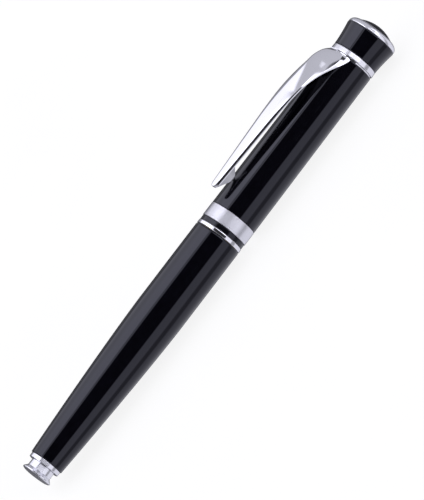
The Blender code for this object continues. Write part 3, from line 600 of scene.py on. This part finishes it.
def stand_for(obj, node, finish=None):
    """The piece takes the node's place: its body, its slot and its finish."""
    slot = SLOT_OF[node]
    obj.data.materials.clear()
    obj.data.materials.append(finishes[finish or slot])
    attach(obj, BODY_OF[node])
    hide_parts(node)


def make_ring(node, name, bore, edge, finish=None):
    """A plain ring with rounded edges."""
    start, end, radius = station(node)
    corners = [
        (start, radius, edge),
        (end, radius, edge),
        (end, bore, FINE_EDGE),
        (start, bore, FINE_EDGE),
    ]
    stand_for(turned(name, rounded(corners, True), True), node, finish)


def make_rod(node, name, edge):
    """A plain solid rod with rounded edges."""
    start, end, radius = station(node)
    corners = [(start, 0, 0), (start, radius, edge), (end, radius, edge), (end, 0, 0)]
    stand_for(turned(name, rounded(corners)), node)


# Tail and barrel


def make_tail_button():
    """A domed rim round the flat, a cone that draws in to the neck, and the screw's blind hole."""
    start, end, radius = station("tail_button")
    turn = np.linspace(0, TAIL_RIM_TURN, 10)
    rise = TAIL_RIM_DEPTH * (1 - np.cos(turn)) / (1 - math.cos(TAIL_RIM_TURN))
    out = TAIL_FLAT_RADIUS + (radius - TAIL_FLAT_RADIUS) * np.sin(turn) / math.sin(TAIL_RIM_TURN)
    neck = rounded(
        [
            (TAIL_RIM_DEPTH, radius, GROOVE_EDGE / 2),
            (TAIL_RIM_END, radius, 0.06),
            (TAIL_CONE_END, TAIL_NECK_RADIUS, EDGE),
            (end, TAIL_NECK_RADIUS - 0.06, 0.06),
            (end, TAIL_HOLE_RADIUS, INNER_EDGE),
            (TAIL_HOLE_START, TAIL_HOLE_RADIUS, INNER_EDGE),
            (TAIL_HOLE_START, 0, 0),
        ]
    )
    flat = [(start, 0), (start, TAIL_FLAT_RADIUS * 0.98)]
    profile = np.concatenate([flat, np.stack([rise, out], 1), neck[1:]])
    stand_for(turned("tail_button_shell", profile), "tail_button", "turned_chrome")


def make_tail_screw():
    """A shank with a wider, rounded head inside the barrel."""
    start, end, radius = station("tail_screw")
    neck = end - TAIL_SCREW_HEAD
    corners = [
        (start, 0, 0),
        (start, TAIL_SCREW_RADIUS, SMALL_EDGE),
        (neck, TAIL_SCREW_RADIUS, FINE_EDGE),
        (neck, radius, SMALL_EDGE),
        (end, radius, 0.25),
        (end, 0, 0),
    ]
    stand_for(turned("tail_screw_body", rounded(corners)), "tail_screw")


def barrel_radius(distance, length, radius):
    """R - (R - T) * (1 - d / taper) ** swell: a swelling curve up to where the barrel runs straight."""
    left = np.maximum(0, 1 - distance / (length - BARREL_STRAIGHT))
    return radius - (radius - BARREL_TAIL_RADIUS) * left**BARREL_SWELL


def make_barrel_tube():
    """The barrel's swelling outside, a rounded shoulder in front, and a bore one wall inside it."""
    start, end, radius = station("barrel_tube")
    length = end - start
    d = np.concatenate([np.linspace(EDGE, length - BARREL_STRAIGHT, 60), [length - 12, length - 1.2]])
    outside = np.stack([start + d, barrel_radius(d, length, radius)], 1)
    first = barrel_radius(0, length, radius)
    shoulder = [end, radius] - BARREL_SHOULDER * (1 - arc(0, 90, 9))
    d = np.linspace(length, BARREL_END_WALL, 40)
    bore = np.stack([start + d, barrel_radius(d, length, radius) - BARREL_WALL], 1)
    back = [
        (start + BARREL_END_WALL, TAIL_HOLE_RADIUS),
        (start, TAIL_HOLE_RADIUS),
        (start, first - SMALL_EDGE),
        (start + INNER_EDGE, first - INNER_EDGE),
    ]
    profile = np.concatenate([outside, [(end - BARREL_GUARD, radius)], shoulder, bore, back])
    stand_for(turned("barrel_shell", profile, True), "barrel_tube")


# Threads


def thread_surface(name, corners, thread_start, thread_end, crest, outwards):
    """A turned piece with a real thread on one stretch.

    On that stretch the radius is crest - depth * w at station x and angle a, where w goes from 0 to 1
    and back once for each pitch of x - pitch * a / 2 pi, and fades out at both ends of the stretch.
    """
    s, r = rounded(corners, closed=True).T
    ends = [int(np.argmin(np.hypot(s - place, r - crest))) for place in (thread_start, thread_end)]
    first, last = min(ends), max(ends)
    count = int((thread_end - thread_start) / THREAD_PITCH * THREAD_ROWS)
    inner = np.linspace(s[first], s[last], count + 2)[1:-1]
    s = np.concatenate([s[: first + 1], inner, s[last:]])
    r = np.concatenate([r[: first + 1], np.full(count, crest), r[last:]])
    phase = (s[:, None] / THREAD_PITCH - AROUND / (2 * math.pi)) % 1
    wave = np.clip(1.6 * (1 - np.abs(2 * phase - 1)) - 0.3, 0, 1)
    fade_in = np.clip((s - thread_start - THREAD_FADE_START) / THREAD_FADE, 0, 1)
    fade_out = np.clip((thread_end - THREAD_FADE_START - s) / THREAD_FADE, 0, 1)
    rows = np.zeros(len(s))
    threaded = slice(first + 1, first + 1 + count)
    rows[threaded] = (fade_in * fade_out)[threaded]
    radius = r[:, None] - outwards * THREAD_DEPTH * wave * rows[:, None]
    return loft(name, round_axis(s, radius), closed=True, smooth_angle=50)


def make_barrel_bush():
    """A brass bush with the thread in its bore. The grooves go outwards into its wall."""
    start, end, radius = station("barrel_bush")
    first, last = start + 1.2, end - 0.4
    corners = [
        (start, radius, SMALL_EDGE),
        (end, radius, SMALL_EDGE),
        (end, BUSH_BORE, EDGE),
        (last, BUSH_BORE, 0),
        (first, BUSH_BORE, 0),
        (start, BUSH_BORE, EDGE),
    ]
    piece = thread_surface("barrel_bush_threaded", corners, first, last, BUSH_BORE, -1)
    stand_for(piece, "barrel_bush")


def make_section_coupling():
    """A brass coupling: the threaded stretch, then the spigot that the grip is pressed on."""
    start, end, radius = station("section_coupling")
    step = start + COUPLING_THREADED
    first, last = start + 0.2, step - 0.3
    corners = [
        (start, radius, 0.15),
        (first, radius, 0),
        (last, radius, 0),
        (step, radius, 0.08),
        (step, COUPLING_SPIGOT, INNER_EDGE),
        (end, COUPLING_SPIGOT, SMALL_EDGE),
        (end, COUPLING_BORE, FINE_EDGE),
        (start, COUPLING_BORE, SMALL_EDGE),
    ]
    piece = thread_surface("section_coupling_threaded", corners, first, last, radius, 1)
    stand_for(piece, "section_coupling")


# Spring and refill


def make_refill_spring():
    """A round wire carried along a helix. Station s rises evenly over six turns, and by little more than
    a wire's thickness over the closed turn at each end."""
    start, end, _ = station("refill_spring")
    first, last = start + SPRING_WIRE, end - SPRING_WIRE
    turns = np.linspace(0, SPRING_TURNS, SPRING_TURNS * SPRING_STEPS + 1)
    rise = last - first
    places = [0, SPRING_END_PITCH, rise - SPRING_END_PITCH, rise]
    s = first + np.interp(turns, [0, 1, SPRING_TURNS - 1, SPRING_TURNS], places)
    a = 2 * math.pi * turns
    line = np.stack([s, SPRING_RADIUS * np.cos(a), SPRING_RADIUS * np.sin(a)], 1)
    along = np.gradient(line, axis=0)
    along /= np.linalg.norm(along, axis=1)[:, None]
    out = np.stack([np.zeros_like(a), np.cos(a), np.sin(a)], 1)
    out -= (out * along).sum(1)[:, None] * along
    out /= np.linalg.norm(out, axis=1)[:, None]
    side = np.cross(along, out)
    b = np.linspace(0, 2 * math.pi, WIRE_STEPS, endpoint=False)
    ring = np.cos(b)[None, :, None] * out[:, None, :] + np.sin(b)[None, :, None] * side[:, None, :]
    grid = line[:, None, :] + SPRING_WIRE * ring
    ends = [np.repeat(line[i][None, None], WIRE_STEPS, 1) for i in (0, -1)]
    piece = loft("refill_spring_coil", np.concatenate([ends[0], grid, ends[1]]), smooth_angle=60)
    piece.data.materials.append(finishes["steel"])
    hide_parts("refill_spring")
    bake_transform(piece)


def make_refill_plug():
    """The plug in the tube's back end, with a rim outside it."""
    start, end, radius = station("refill_plug")
    corners = [
        (start, 0, 0),
        (start, radius, SOFT_EDGE),
        (start + PLUG_RIM, radius, FINE_EDGE),
        (start + PLUG_RIM, PLUG_RADIUS, INNER_EDGE),
        (end, PLUG_RADIUS, SMALL_EDGE),
        (end, 0, 0),
    ]
    stand_for(turned("refill_plug_moulded", rounded(corners)), "refill_plug")


def make_refill_feed():
    """The stepped front end that is pressed into the tube and holds the tip."""
    start, end, radius = station("refill_feed")
    shoulder = start + FEED_SHOULDER
    seat = end - TIP_HELD
    corners = [
        (start, 0, 0),
        (start, PLUG_RADIUS, SMALL_EDGE),
        (start + 1, PLUG_RADIUS, INNER_EDGE),
        (start + 1, radius, FINE_EDGE),
        (shoulder, radius, 0.3),
        (shoulder, FEED_NECK_RADIUS, 0.15),
        (end, FEED_NECK_RADIUS, SMALL_EDGE),
        (end, TIP_HELD_RADIUS + GAP, GROOVE_EDGE),
        (seat, TIP_HELD_RADIUS + GAP, GROOVE_EDGE),
        (seat, 0, 0),
    ]
    stand_for(turned("refill_feed_moulded", rounded(corners)), "refill_feed")


def make_refill_tip():
    """The tip, with a round cup that holds the ball, and the ball."""
    start, end, _ = station("refill_tip")
    ball_start, ball_end, ball_radius = station("refill_ball")
    centre = (ball_start + ball_end) / 2
    seat = ball_radius / FLAT + BALL_PLAY
    cup = [centre, 0] + np.array([-seat, seat]) * arc(0, 90, 9)
    cup[-1, 1] = 0
    corners = [
        (start, 0, 0),
        (start, TIP_HELD_RADIUS, 0.08),
        (start + TIP_HELD, TIP_HELD_RADIUS, GROOVE_EDGE),
        (start + TIP_HELD, TIP_RADIUS, EDGE),
        (end - TIP_POINT, TIP_POINT_RADIUS, 0.4),
        (end, TIP_MOUTH_RADIUS, INNER_EDGE),
        (end, seat, GROOVE_EDGE / 2),
    ]
    profile = np.concatenate([rounded(corners), cup])
    stand_for(turned("refill_tip_turned", profile), "refill_tip")

    turn = np.linspace(0, math.pi, 40)
    ball = np.stack([centre - BALL_RADIUS * np.cos(turn), BALL_RADIUS * np.sin(turn)], 1)
    ball[[0, -1], 1] = 0
    stand_for(turned("refill_ball_ground", ball), "refill_ball")


# Grip section


def make_section_sleeve():
    """The grip, whose radius falls with the square of the share of its length."""
    start, end, radius = station("section_sleeve")
    share = np.linspace(0, 1, 40)
    along = start + SMALL_EDGE + (end - start - 0.18) * share
    outside = np.stack([along, radius - (radius - GRIP_FRONT_RADIUS) * share**2], 1)
    inside = [
        (end, GRIP_FRONT_RADIUS - GAP),
        (end, GRIP_FRONT_BORE),
        (end - NOSE_HELD, GRIP_FRONT_BORE),
        (end - NOSE_HELD, COUPLING_BORE),
        (start + GRIP_SPIGOT_HELD, COUPLING_BORE),
        (start + GRIP_SPIGOT_HELD, SECTION_RING_BORE),
        (start, SECTION_RING_BORE),
        (start, radius - 0.08),
    ]
    stand_for(turned("section_sleeve_grip", np.concatenate([outside, inside]), True), "section_sleeve")


def make_nose_cone():
    """The nose, whose radius falls with the square of the share of its length, and its stepped bore."""
    start, end, _ = station("nose_cone")
    back = start + NOSE_HELD
    share = np.linspace(0, 1, 30)
    along = back + GAP + (end - back - 0.17) * share
    cone = np.stack([along, GRIP_FRONT_RADIUS - (GRIP_FRONT_RADIUS - NOSE_TIP_RADIUS) * share**2], 1)
    bore_end = start + NOSE_BORE_LENGTH
    inside = rounded(
        [
            cone[-1],
            (end, NOSE_TIP_RADIUS - GAP, 0.08),
            (end, NOSE_MOUTH_RADIUS, FINE_EDGE),
            (bore_end, NOSE_MOUTH_RADIUS, INNER_EDGE),
            (bore_end, NOSE_BORE, INNER_EDGE),
            (start, NOSE_BORE, FINE_EDGE),
            (start, NOSE_HELD_RADIUS, 0.08),
            (back, NOSE_HELD_RADIUS, GROOVE_EDGE),
            (back, GRIP_FRONT_RADIUS - GAP, GROOVE_EDGE),
            cone[0],
        ]
    )
    stand_for(turned("nose_cone_shell", np.concatenate([cone, inside[1:-1]]), True), "nose_cone")


# Cap


def make_cap_lip_band():
    """The wide band: satin, with a fine groove near each edge."""
    start, end, radius = station("cap_lip_band")
    lip = start + 0.65
    groove = [
        (BAND_GROOVE, radius, INNER_EDGE),
        (BAND_GROOVE + 0.03, radius - BAND_GROOVE_DEPTH, GROOVE_EDGE),
        (BAND_GROOVE + 0.10, radius - BAND_GROOVE_DEPTH, GROOVE_EDGE),
        (BAND_GROOVE + 0.13, radius, INNER_EDGE),
    ]
    corners = [
        (start, radius, 0.22),
        *[(start + step, level, edge) for step, level, edge in groove],
        *[(end - step, level, edge) for step, level, edge in reversed(groove)],
        (end, radius, 0.22),
        (end, CAP_SPIGOT_RADIUS + GAP, FINE_EDGE),
        (lip, CAP_SPIGOT_RADIUS + GAP, INNER_EDGE),
        (lip, CAP_BORE, INNER_EDGE),
        (start, CAP_BORE, SMALL_EDGE),
    ]
    stand_for(turned("cap_lip_band_shell", rounded(corners, True), True), "cap_lip_band")


def cap_shoulder():
    """Where the cap's spigot ends and its outside begins, in front of the band."""
    return station("cap_lip_band")[1] + GAP


def make_cap_tube():
    """The tapering cap, with the spigot that the band sits on."""
    start, end, _ = station("cap_tube")
    corners = [
        (start, CAP_SPIGOT_RADIUS, FINE_EDGE),
        (cap_shoulder(), CAP_SPIGOT_RADIUS, INNER_EDGE),
        (cap_shoulder(), BODY_RADIUS, 0.3),
        (end, CAP_END_RADIUS, SOFT_EDGE),
        (end, CAP_BORE, SMALL_EDGE),
        (start, CAP_BORE, SMALL_EDGE),
    ]
    stand_for(turned("cap_shell", rounded(corners, True), True), "cap_tube")


def make_inner_cap():
    """The liner, which narrows round the nose cone and is closed in front of the refill's tip."""
    start, end, radius = station("inner_cap")
    near = station("nose_cone")[0] + LINER_NARROWS
    far = near + LINER_TAPER
    floor = end - LINER_END_WALL
    corners = [
        (floor, 0, 0),
        (floor, LINER_CLOSED_BORE, SOFT_EDGE),
        (far, LINER_CLOSED_BORE, 1.0),
        (near, LINER_BORE, 1.0),
        (start, LINER_BORE, EDGE),
        (start, radius, EDGE),
        (near, radius, 1.0),
        (far, LINER_CLOSED_RADIUS, 1.0),
        (end, LINER_CLOSED_RADIUS, SOFT_EDGE),
        (end, 0, 0),
    ]
    stand_for(turned("inner_cap_liner", rounded(corners)), "inner_cap")


def make_clip_trim_ring():
    """The ring above the clip, a trace narrower towards the crown."""
    start, end, radius = station("clip_trim_ring")
    corners = [
        (start, radius, SOFT_EDGE),
        (end, radius - 0.07, SOFT_EDGE),
        (end, STUD_HOLE, FINE_EDGE),
        (start, STUD_HOLE, FINE_EDGE),
    ]
    piece = turned("clip_trim_ring_shell", rounded(corners, True), True)
    stand_for(piece, "clip_trim_ring", "turned_chrome")


def make_crown():
    """A cup whose side flares towards its rim by the share of its length to the power of the swell."""
    start, end, rim = station("finial_crown")
    share = np.linspace(0, 1, 40)
    along = start + SMALL_EDGE + (end - CROWN_RIM_EDGE - SMALL_EDGE - start) * share
    side = np.stack([along, CROWN_BASE_RADIUS + (rim - CROWN_BASE_RADIUS) * share**CROWN_SWELL], 1)
    edge = [end, rim] - CROWN_RIM_EDGE * (1 - arc(15, 90, 6))
    floor = end - CROWN_SOCKET_DEPTH
    socket = rounded(
        [
            edge[-1],
            (end, CROWN_SOCKET_RADIUS, FINE_EDGE),
            (floor, CROWN_SOCKET_RADIUS, FINE_EDGE),
            (floor, 0, 0),
        ]
    )
    hole_end = station("finial_screw")[1] + GAP
    hole = rounded(
        [
            (hole_end, 0, 0),
            (hole_end, STUD_HOLE, FINE_EDGE),
            (start, STUD_HOLE, SMALL_EDGE),
            (start, CROWN_BASE_RADIUS - 0.15, FINE_EDGE),
            side[0],
        ]
    )
    profile = np.concatenate([hole[:-1], side, edge, socket[1:]])
    stand_for(turned("crown_shell", profile), "finial_crown")


def make_bezel():
    """A ring with a quarter-round outside, on a spigot in the crown's socket."""
    start, end, outer = station("finial_bezel")
    seat = start + BEZEL_SEAT
    size = np.array([end - seat - EDGE, outer - BEZEL_SPIGOT])
    dome = [seat + EDGE, BEZEL_SPIGOT] + size * arc(0, 90, 18)
    inside = [
        (end, BEZEL_SPIGOT - 0.18),
        (end - 0.15, BEZEL_BORE),
        (start, BEZEL_BORE),
        (start, BEZEL_SPIGOT),
        (seat, BEZEL_SPIGOT),
        (seat, outer - 0.08),
    ]
    piece = turned("bezel_shell", np.concatenate([dome, inside]), True)
    stand_for(piece, "finial_bezel", "turned_chrome")


def make_jewel():
    """A low dome, part of a sphere, with a foot inside the bezel."""
    start, end, _ = station("finial_jewel")
    base = station("finial_bezel")[1] + GAP
    height = end - base
    sphere = (JEWEL_RADIUS**2 + height**2) / (2 * height)
    turn = np.linspace(math.asin(JEWEL_RADIUS / sphere), 0, 30)
    dome = np.stack([end - sphere + sphere * np.cos(turn), sphere * np.sin(turn)], 1)
    dome[-1, 1] = 0
    foot = rounded(
        [
            (start, 0, 0),
            (start, JEWEL_FOOT_RADIUS, SMALL_EDGE),
            (base, JEWEL_FOOT_RADIUS, GROOVE_EDGE),
            (base, JEWEL_RADIUS - GAP, 0.06),
            dome[0],
        ]
    )
    profile = np.concatenate([foot[:-1], dome])
    stand_for(turned("jewel_dome", profile), "finial_jewel")


# Clip


def cap_radius(x):
    """The cap tube narrows evenly from its shoulder to its closed end."""
    share = (x - cap_shoulder()) / (station("cap_tube")[1] - cap_shoulder())
    return BODY_RADIUS + (CAP_END_RADIUS - BODY_RADIUS) * share


def clip_lines(d):
    """Heights and half-widths of the clip's crest, shelves, folds and edges at distances d from its root.

    The crest rises by 1 - exp(-d / a) and the edges by 1 - exp(-(d / b) ** 1.6). A bevel between shelf
    and fold grows with the distance from the root, and the flank between fold and edge shrinks.
    """
    along = d / CLIP_LENGTH
    bevel = 0.03 + 0.42 * np.clip((d - 2.5) / 2, 0, 1) + 0.55 * np.clip((d - 15) / 8, 0, 1)
    near_root = np.exp(-d / CLIP_RISE_LENGTH)
    crest = CAP_END_RADIUS + GAP + CLIP_ROOT_THICKNESS
    crest = crest + CLIP_RISE * (1 - near_root) - CLIP_FALL * along**2 + CLIP_ARM_RIDGE * bevel
    root_radius = CAP_END_RADIUS + GAP + CLIP_ROOT_EDGE
    root_y = root_radius * math.sin(CLIP_ROOT_ANGLE) - 0.3
    edge_y = root_y + (CLIP_TIP_HALF_WIDTH - root_y) * along + 0.3 * near_root
    edge_rise = 1 - np.exp(-((d / CLIP_EDGE_RISE_LENGTH) ** 1.6))
    edge_z = root_radius * math.cos(CLIP_ROOT_ANGLE) + CLIP_EDGE_RISE * edge_rise
    fold_y = edge_y - CLIP_ROOT_FOLD_IN * np.exp(-d / 1.8)
    fold_z = edge_z + CLIP_FLANK - 0.1 * bevel + CLIP_ROOT_FLANK * np.exp(-((d / 3.5) ** 1.5))
    shelf_y = fold_y - BEVEL_OUT * bevel
    shelf_z = fold_z + BEVEL_DOWN * bevel
    tip = 1 - np.clip((CLIP_LENGTH - d) / CLIP_TIP_LENGTH, 0, 1)
    width = 0.35 + 0.65 * np.sqrt(np.clip(1 - tip**2, 0, 1))
    return crest, shelf_y * width, shelf_z, fold_y * width, fold_z, edge_y * width, edge_z


def clip_sections(d, across):
    """The clip's sections at distances d from its root, one row each.

    The top is crest - (crest - shelf) * |v| ** power for v from -1 to 1. On each side a bevel runs down
    and out from its shelf to the fold, and a flank runs on down to the edge. The underside is the same
    a wall lower, never inside the cap, and drops as a narrow keel into the pad near the tip.
    """
    crest, shelf_y, shelf_z, fold_y, fold_z, edge_y, edge_z = clip_lines(d)
    x = station("cap_tube")[1] - d
    surface = cap_radius(x)
    power = 1.7 + 3.3 * np.clip(d / 16 - 0.4, 0, 1)
    top_z = crest[:, None] - (crest - shelf_z)[:, None] * np.abs(across) ** power[:, None]
    top = np.stack([np.outer(shelf_y, across), top_z], -1)

    left = CLIP_LENGTH - d
    share = np.clip(np.minimum((PAD_FRONT - left) / 3.7, (left + 1.1) / 5.8), 0, 1)
    share = share * np.clip(left / 0.6, 0, 1)
    keel = share[:, None] * np.clip((PAD_HALF_WIDTH - np.abs(across)) / PAD_SIDE, 0, 1)
    under_z = top_z - CLIP_WALL
    under_z = under_z + (surface[:, None] + GAP - under_z) * keel
    under_y = np.outer(np.minimum(shelf_y, edge_y - CLIP_WALL), across)
    under = np.stack([under_y, under_z], -1)

    fold = np.stack([fold_y, fold_z], -1)[:, None]
    edge = np.stack([edge_y, edge_z], -1)[:, None]
    lip = np.stack([edge_y - CLIP_WALL, edge_z], -1)[:, None]
    down = np.linspace(0, 1, CLIP_SIDE_STEPS + 1)[None, 1:, None]
    bevel_face = top[:, -1:] + (fold - top[:, -1:]) * down
    flank = fold + (edge - fold) * down
    right = np.concatenate([bevel_face, flank], axis=1)
    down = np.linspace(0, 1, 2 * CLIP_SIDE_STEPS + 1)[None, 1:, None]
    wall = under[:, -1:] + (lip - under[:, -1:]) * down
    mirror = np.array([-1.0, 1.0])
    under = np.concatenate([wall[:, ::-1] * mirror, under, wall], axis=1)
    least = surface[:, None] / FLAT + GAP
    reach = np.hypot(under[..., 0], under[..., 1])
    under = under * np.maximum(1, least / reach)[..., None]
    rows = np.concatenate([right[:, ::-1] * mirror, top, right, under[:, ::-1]], axis=1)
    return x, rows


def make_clip():
    """The shell through the clip's sections, closest together where it curves most."""
    root = CLIP_ROOT_LENGTH * np.linspace(0, 1, 60) ** 1.6
    arm = np.linspace(CLIP_ROOT_LENGTH, CLIP_LENGTH - CLIP_PAD_LENGTH, 60)[1:]
    pad = np.linspace(CLIP_LENGTH - CLIP_PAD_LENGTH, CLIP_LENGTH - CLIP_TIP_LENGTH, 40)[1:]
    tip = CLIP_LENGTH - CLIP_TIP_LENGTH * np.linspace(1, 0, 16)[1:] ** 2
    d = np.concatenate([root, arm, pad, tip])
    keel_edges = [PAD_HALF_WIDTH - PAD_SIDE, PAD_HALF_WIDTH]
    half = np.concatenate([np.linspace(0, 1, 6), np.linspace(0, 0.86, 17), keel_edges])
    across = np.unique(np.concatenate([-half, half]).round(6))
    x, rows = clip_sections(d, across)
    grid = np.concatenate([np.broadcast_to(x[:, None, None], (*rows.shape[:2], 1)), rows], -1)
    stand_for(shell("clip_shell", grid, smooth_angle=28), "clip")


make_tail_button()
make_ring("tail_ring", "tail_ring_shell", TAIL_HOLE_RADIUS, 0.15, "turned_chrome")
make_tail_screw()
make_barrel_tube()
make_ring("barrel_trim_ring", "barrel_trim_ring_shell", BARREL_RING_BORE, SOFT_EDGE)
make_ring("barrel_collar", "barrel_collar_shell", BARREL_RING_BORE, SMALL_EDGE)
make_barrel_bush()
make_section_coupling()
make_refill_spring()
make_refill_plug()
make_ring("refill_tube", "refill_tube_drawn", REFILL_BORE, 0.06)
make_rod("ink_reservoir", "ink_reservoir_rod", SMALL_EDGE)
make_refill_feed()
make_refill_tip()
make_ring("section_ring", "section_ring_shell", SECTION_RING_BORE, SOFT_EDGE)
make_section_sleeve()
make_nose_cone()
make_cap_lip_band()
make_cap_tube()
make_inner_cap()
make_ring("cap_bush", "cap_bush_turned", STUD_HOLE, 0.15)
make_rod("finial_screw", "finial_screw_stud", 0.25)
make_clip_trim_ring()
make_crown()
make_bezel()
make_jewel()
make_clip()
frame["nodes"]["clip_washer"].data.materials.clear()
frame["nodes"]["clip_washer"].data.materials.append(finishes["chrome"])


# Floor, light and camera

# The studio's brightness by angle round the pen, as (degrees, brightness) stops
BRIGHTEST = 4.0
FLOOR_STOPS = [(88, 1.0), (119, 1.0), (124, 0.4), (140, 0.35), (146, 0.85), (180, 0.85)]
BEHIND_STOPS = [(-180, 0.85), (-150, 0.8), (-135, 0.15), (-94, 0.12)]
PANEL_STOPS = [(-88, 0.3), (-70, 0.35), (-66, 1.2), (-41, 1.4), (-20, 2.1), (11, 2.3)]
SEAM_STOPS = [(12.5, 0.5), (14.5, 0.5), (16, 1.8), (18, 1.5)]
DARK_FRONT_STOPS = [(20, 0.03), (85, 0.03)]

# The same for directions that run along the pen: to the right (towards the crown), further right, to the
# right end, and to the left. Each takes over between two values of the direction's x.
STUDIO_ZONES = [
    ([(-88, 0.55), (20, 0.6), (30, 2.2), (85, 2.2)], 0.175, 0.22),
    ([(-88, 0.55), (41, 0.6), (45, 0.05), (60, 0.05), (66, 1.9), (85, 1.9)], 0.42, 0.55),
    ([(-88, 0.55), (20, 0.6), (30, 1.9), (85, 1.9)], 0.8, 0.85),
    ([(-88, 0.3), (-44, 0.3), (-38, 1.2), (16, 1.2), (22, 0.25), (85, 0.25)], -0.33, -0.45),
]

FLOOR_SIZE = 3000.0
FLOOR_DROP = 0.05
FLOOR_GLOW = 0.87

CAMERA_AZIMUTH = math.radians(-8.386)
CAMERA_ELEVATION = math.radians(31)
CAMERA_ROLL = math.radians(48.295)
CAMERA_DISTANCE = 2000
CAMERA_LENS = 594.8
AIM = Vector((69.0, 0, 0))
AIM_RIGHT = 0.853
AIM_DOWN = 0.635


def make_floor():
    """A pale floor at the pen's lowest point. The polished pieces mirror the studio's own floor."""
    z = cad_low[2] / MM - FLOOR_DROP
    corners = [(-1, -1), (1, -1), (1, 1), (-1, 1)]
    verts = [(x * FLOOR_SIZE, y * FLOOR_SIZE, z) for x, y in corners]
    floor = blank_object("floor", verts, [(0, 1, 2, 3)])
    floor.visible_glossy = False
    glow = {"Emission_Color": (1.0, 1.0, 1.0, 1.0), "Emission_Strength": FLOOR_GLOW}
    matt = {"Roughness": 0.8, "Specular_IOR_Level": 0.0}
    material, shader, w = new_material("pale_floor", (0.16, 0.16, 0.16), 0.0, **matt, **glow)
    mottle = w.spread(w.noise(w.place((1, 1, 1)), 30.0, 3.0), 0.3, 0.7)
    tint(w, shader, mottle, (0.155, 0.155, 0.155), (0.165, 0.165, 0.165))
    floor.data.materials.append(material)


def brightness(w, angle, stops):
    """The brightness at an angle round the pen: straight lines between the stops."""
    ramp = w.node("ShaderNodeValToRGB")
    w.join(w.spread(angle, -math.pi, math.pi), ramp.inputs["Fac"])
    elements = ramp.color_ramp.elements
    while len(elements) > 1:
        elements.remove(elements[-1])
    for degrees, level in BEHIND_STOPS + stops + FLOOR_STOPS:
        place = elements.new((degrees + 180) / 360)
        place.color = (*[level / BRIGHTEST] * 3, 1)
    elements.remove(elements[0])
    return w.math("MULTIPLY", ramp.outputs["Color"], BRIGHTEST)


def make_studio():
    """A soft studio all round: light panels overhead and to the right, a pale floor, and dark in front.

    Angles are round the pen's axis: 0 straight up, 90 straight in front, -90 straight behind.
    """
    world = bpy.data.worlds.new("studio")
    bpy.context.scene.world = world
    world.use_nodes = True
    tree = world.node_tree
    w = Wiring(tree)
    split = w.node("ShaderNodeSeparateXYZ")
    w.join(w.node("ShaderNodeTexCoord").outputs["Generated"], split.inputs[0])
    along = split.outputs["X"]
    angle = w.math("ARCTAN2", w.math("MULTIPLY", split.outputs["Y"], -1.0), split.outputs["Z"])
    total = brightness(w, angle, PANEL_STOPS + SEAM_STOPS + DARK_FRONT_STOPS)
    for stops, first, last in STUDIO_ZONES:
        share = w.spread(along, first, last)
        step = w.math("SUBTRACT", brightness(w, angle, stops), total)
        total = w.math("ADD", total, w.math("MULTIPLY", step, share))
    colour = w.node("ShaderNodeCombineColor")
    cool = w.math("MULTIPLY", total, 0.9)
    for socket, level in zip(colour.inputs, (cool, cool, total)):
        w.join(level, socket)
    lit = tree.nodes["Background"]
    w.join(colour.outputs[0], lit.inputs["Color"])
    seen = w.node("ShaderNodeBackground")
    seen.inputs["Color"].default_value = (1.0, 1.0, 1.0, 1.0)
    mix = w.node("ShaderNodeMixShader")
    w.join(w.node("ShaderNodeLightPath").outputs["Is Camera Ray"], mix.inputs[0])
    w.join(lit.outputs[0], mix.inputs[1])
    w.join(seen.outputs[0], mix.inputs[2])
    w.join(mix.outputs[0], tree.nodes["World Output"].inputs["Surface"])


def make_camera():
    """A long lens that looks down on the pen from its front, rolled so that the pen stands upright."""
    level = Vector((math.sin(CAMERA_AZIMUTH), -math.cos(CAMERA_AZIMUTH), 0))
    back = level * math.cos(CAMERA_ELEVATION) + Vector((0, 0, math.sin(CAMERA_ELEVATION)))
    right = Vector((0, 0, 1)).cross(back).normalized()
    up = back.cross(right)
    middle = AIM + right * AIM_RIGHT - up * AIM_DOWN
    turned_right = right * math.cos(CAMERA_ROLL) - up * math.sin(CAMERA_ROLL)
    turned_up = right * math.sin(CAMERA_ROLL) + up * math.cos(CAMERA_ROLL)
    data = bpy.data.cameras.new("camera")
    data.lens = CAMERA_LENS
    data.sensor_width = 36
    data.clip_start, data.clip_end = 0.05, 20
    camera = bpy.data.objects.new("camera", data)
    turn = Matrix((turned_right, turned_up, back)).transposed()
    camera.matrix_world = Matrix.Translation((middle + back * CAMERA_DISTANCE) * MM) @ turn.to_4x4()
    bpy.context.scene.collection.objects.link(camera)
    bpy.context.scene.camera = camera


make_floor()
make_studio()
make_camera()
bpy.context.scene.view_settings.view_transform = "Standard"
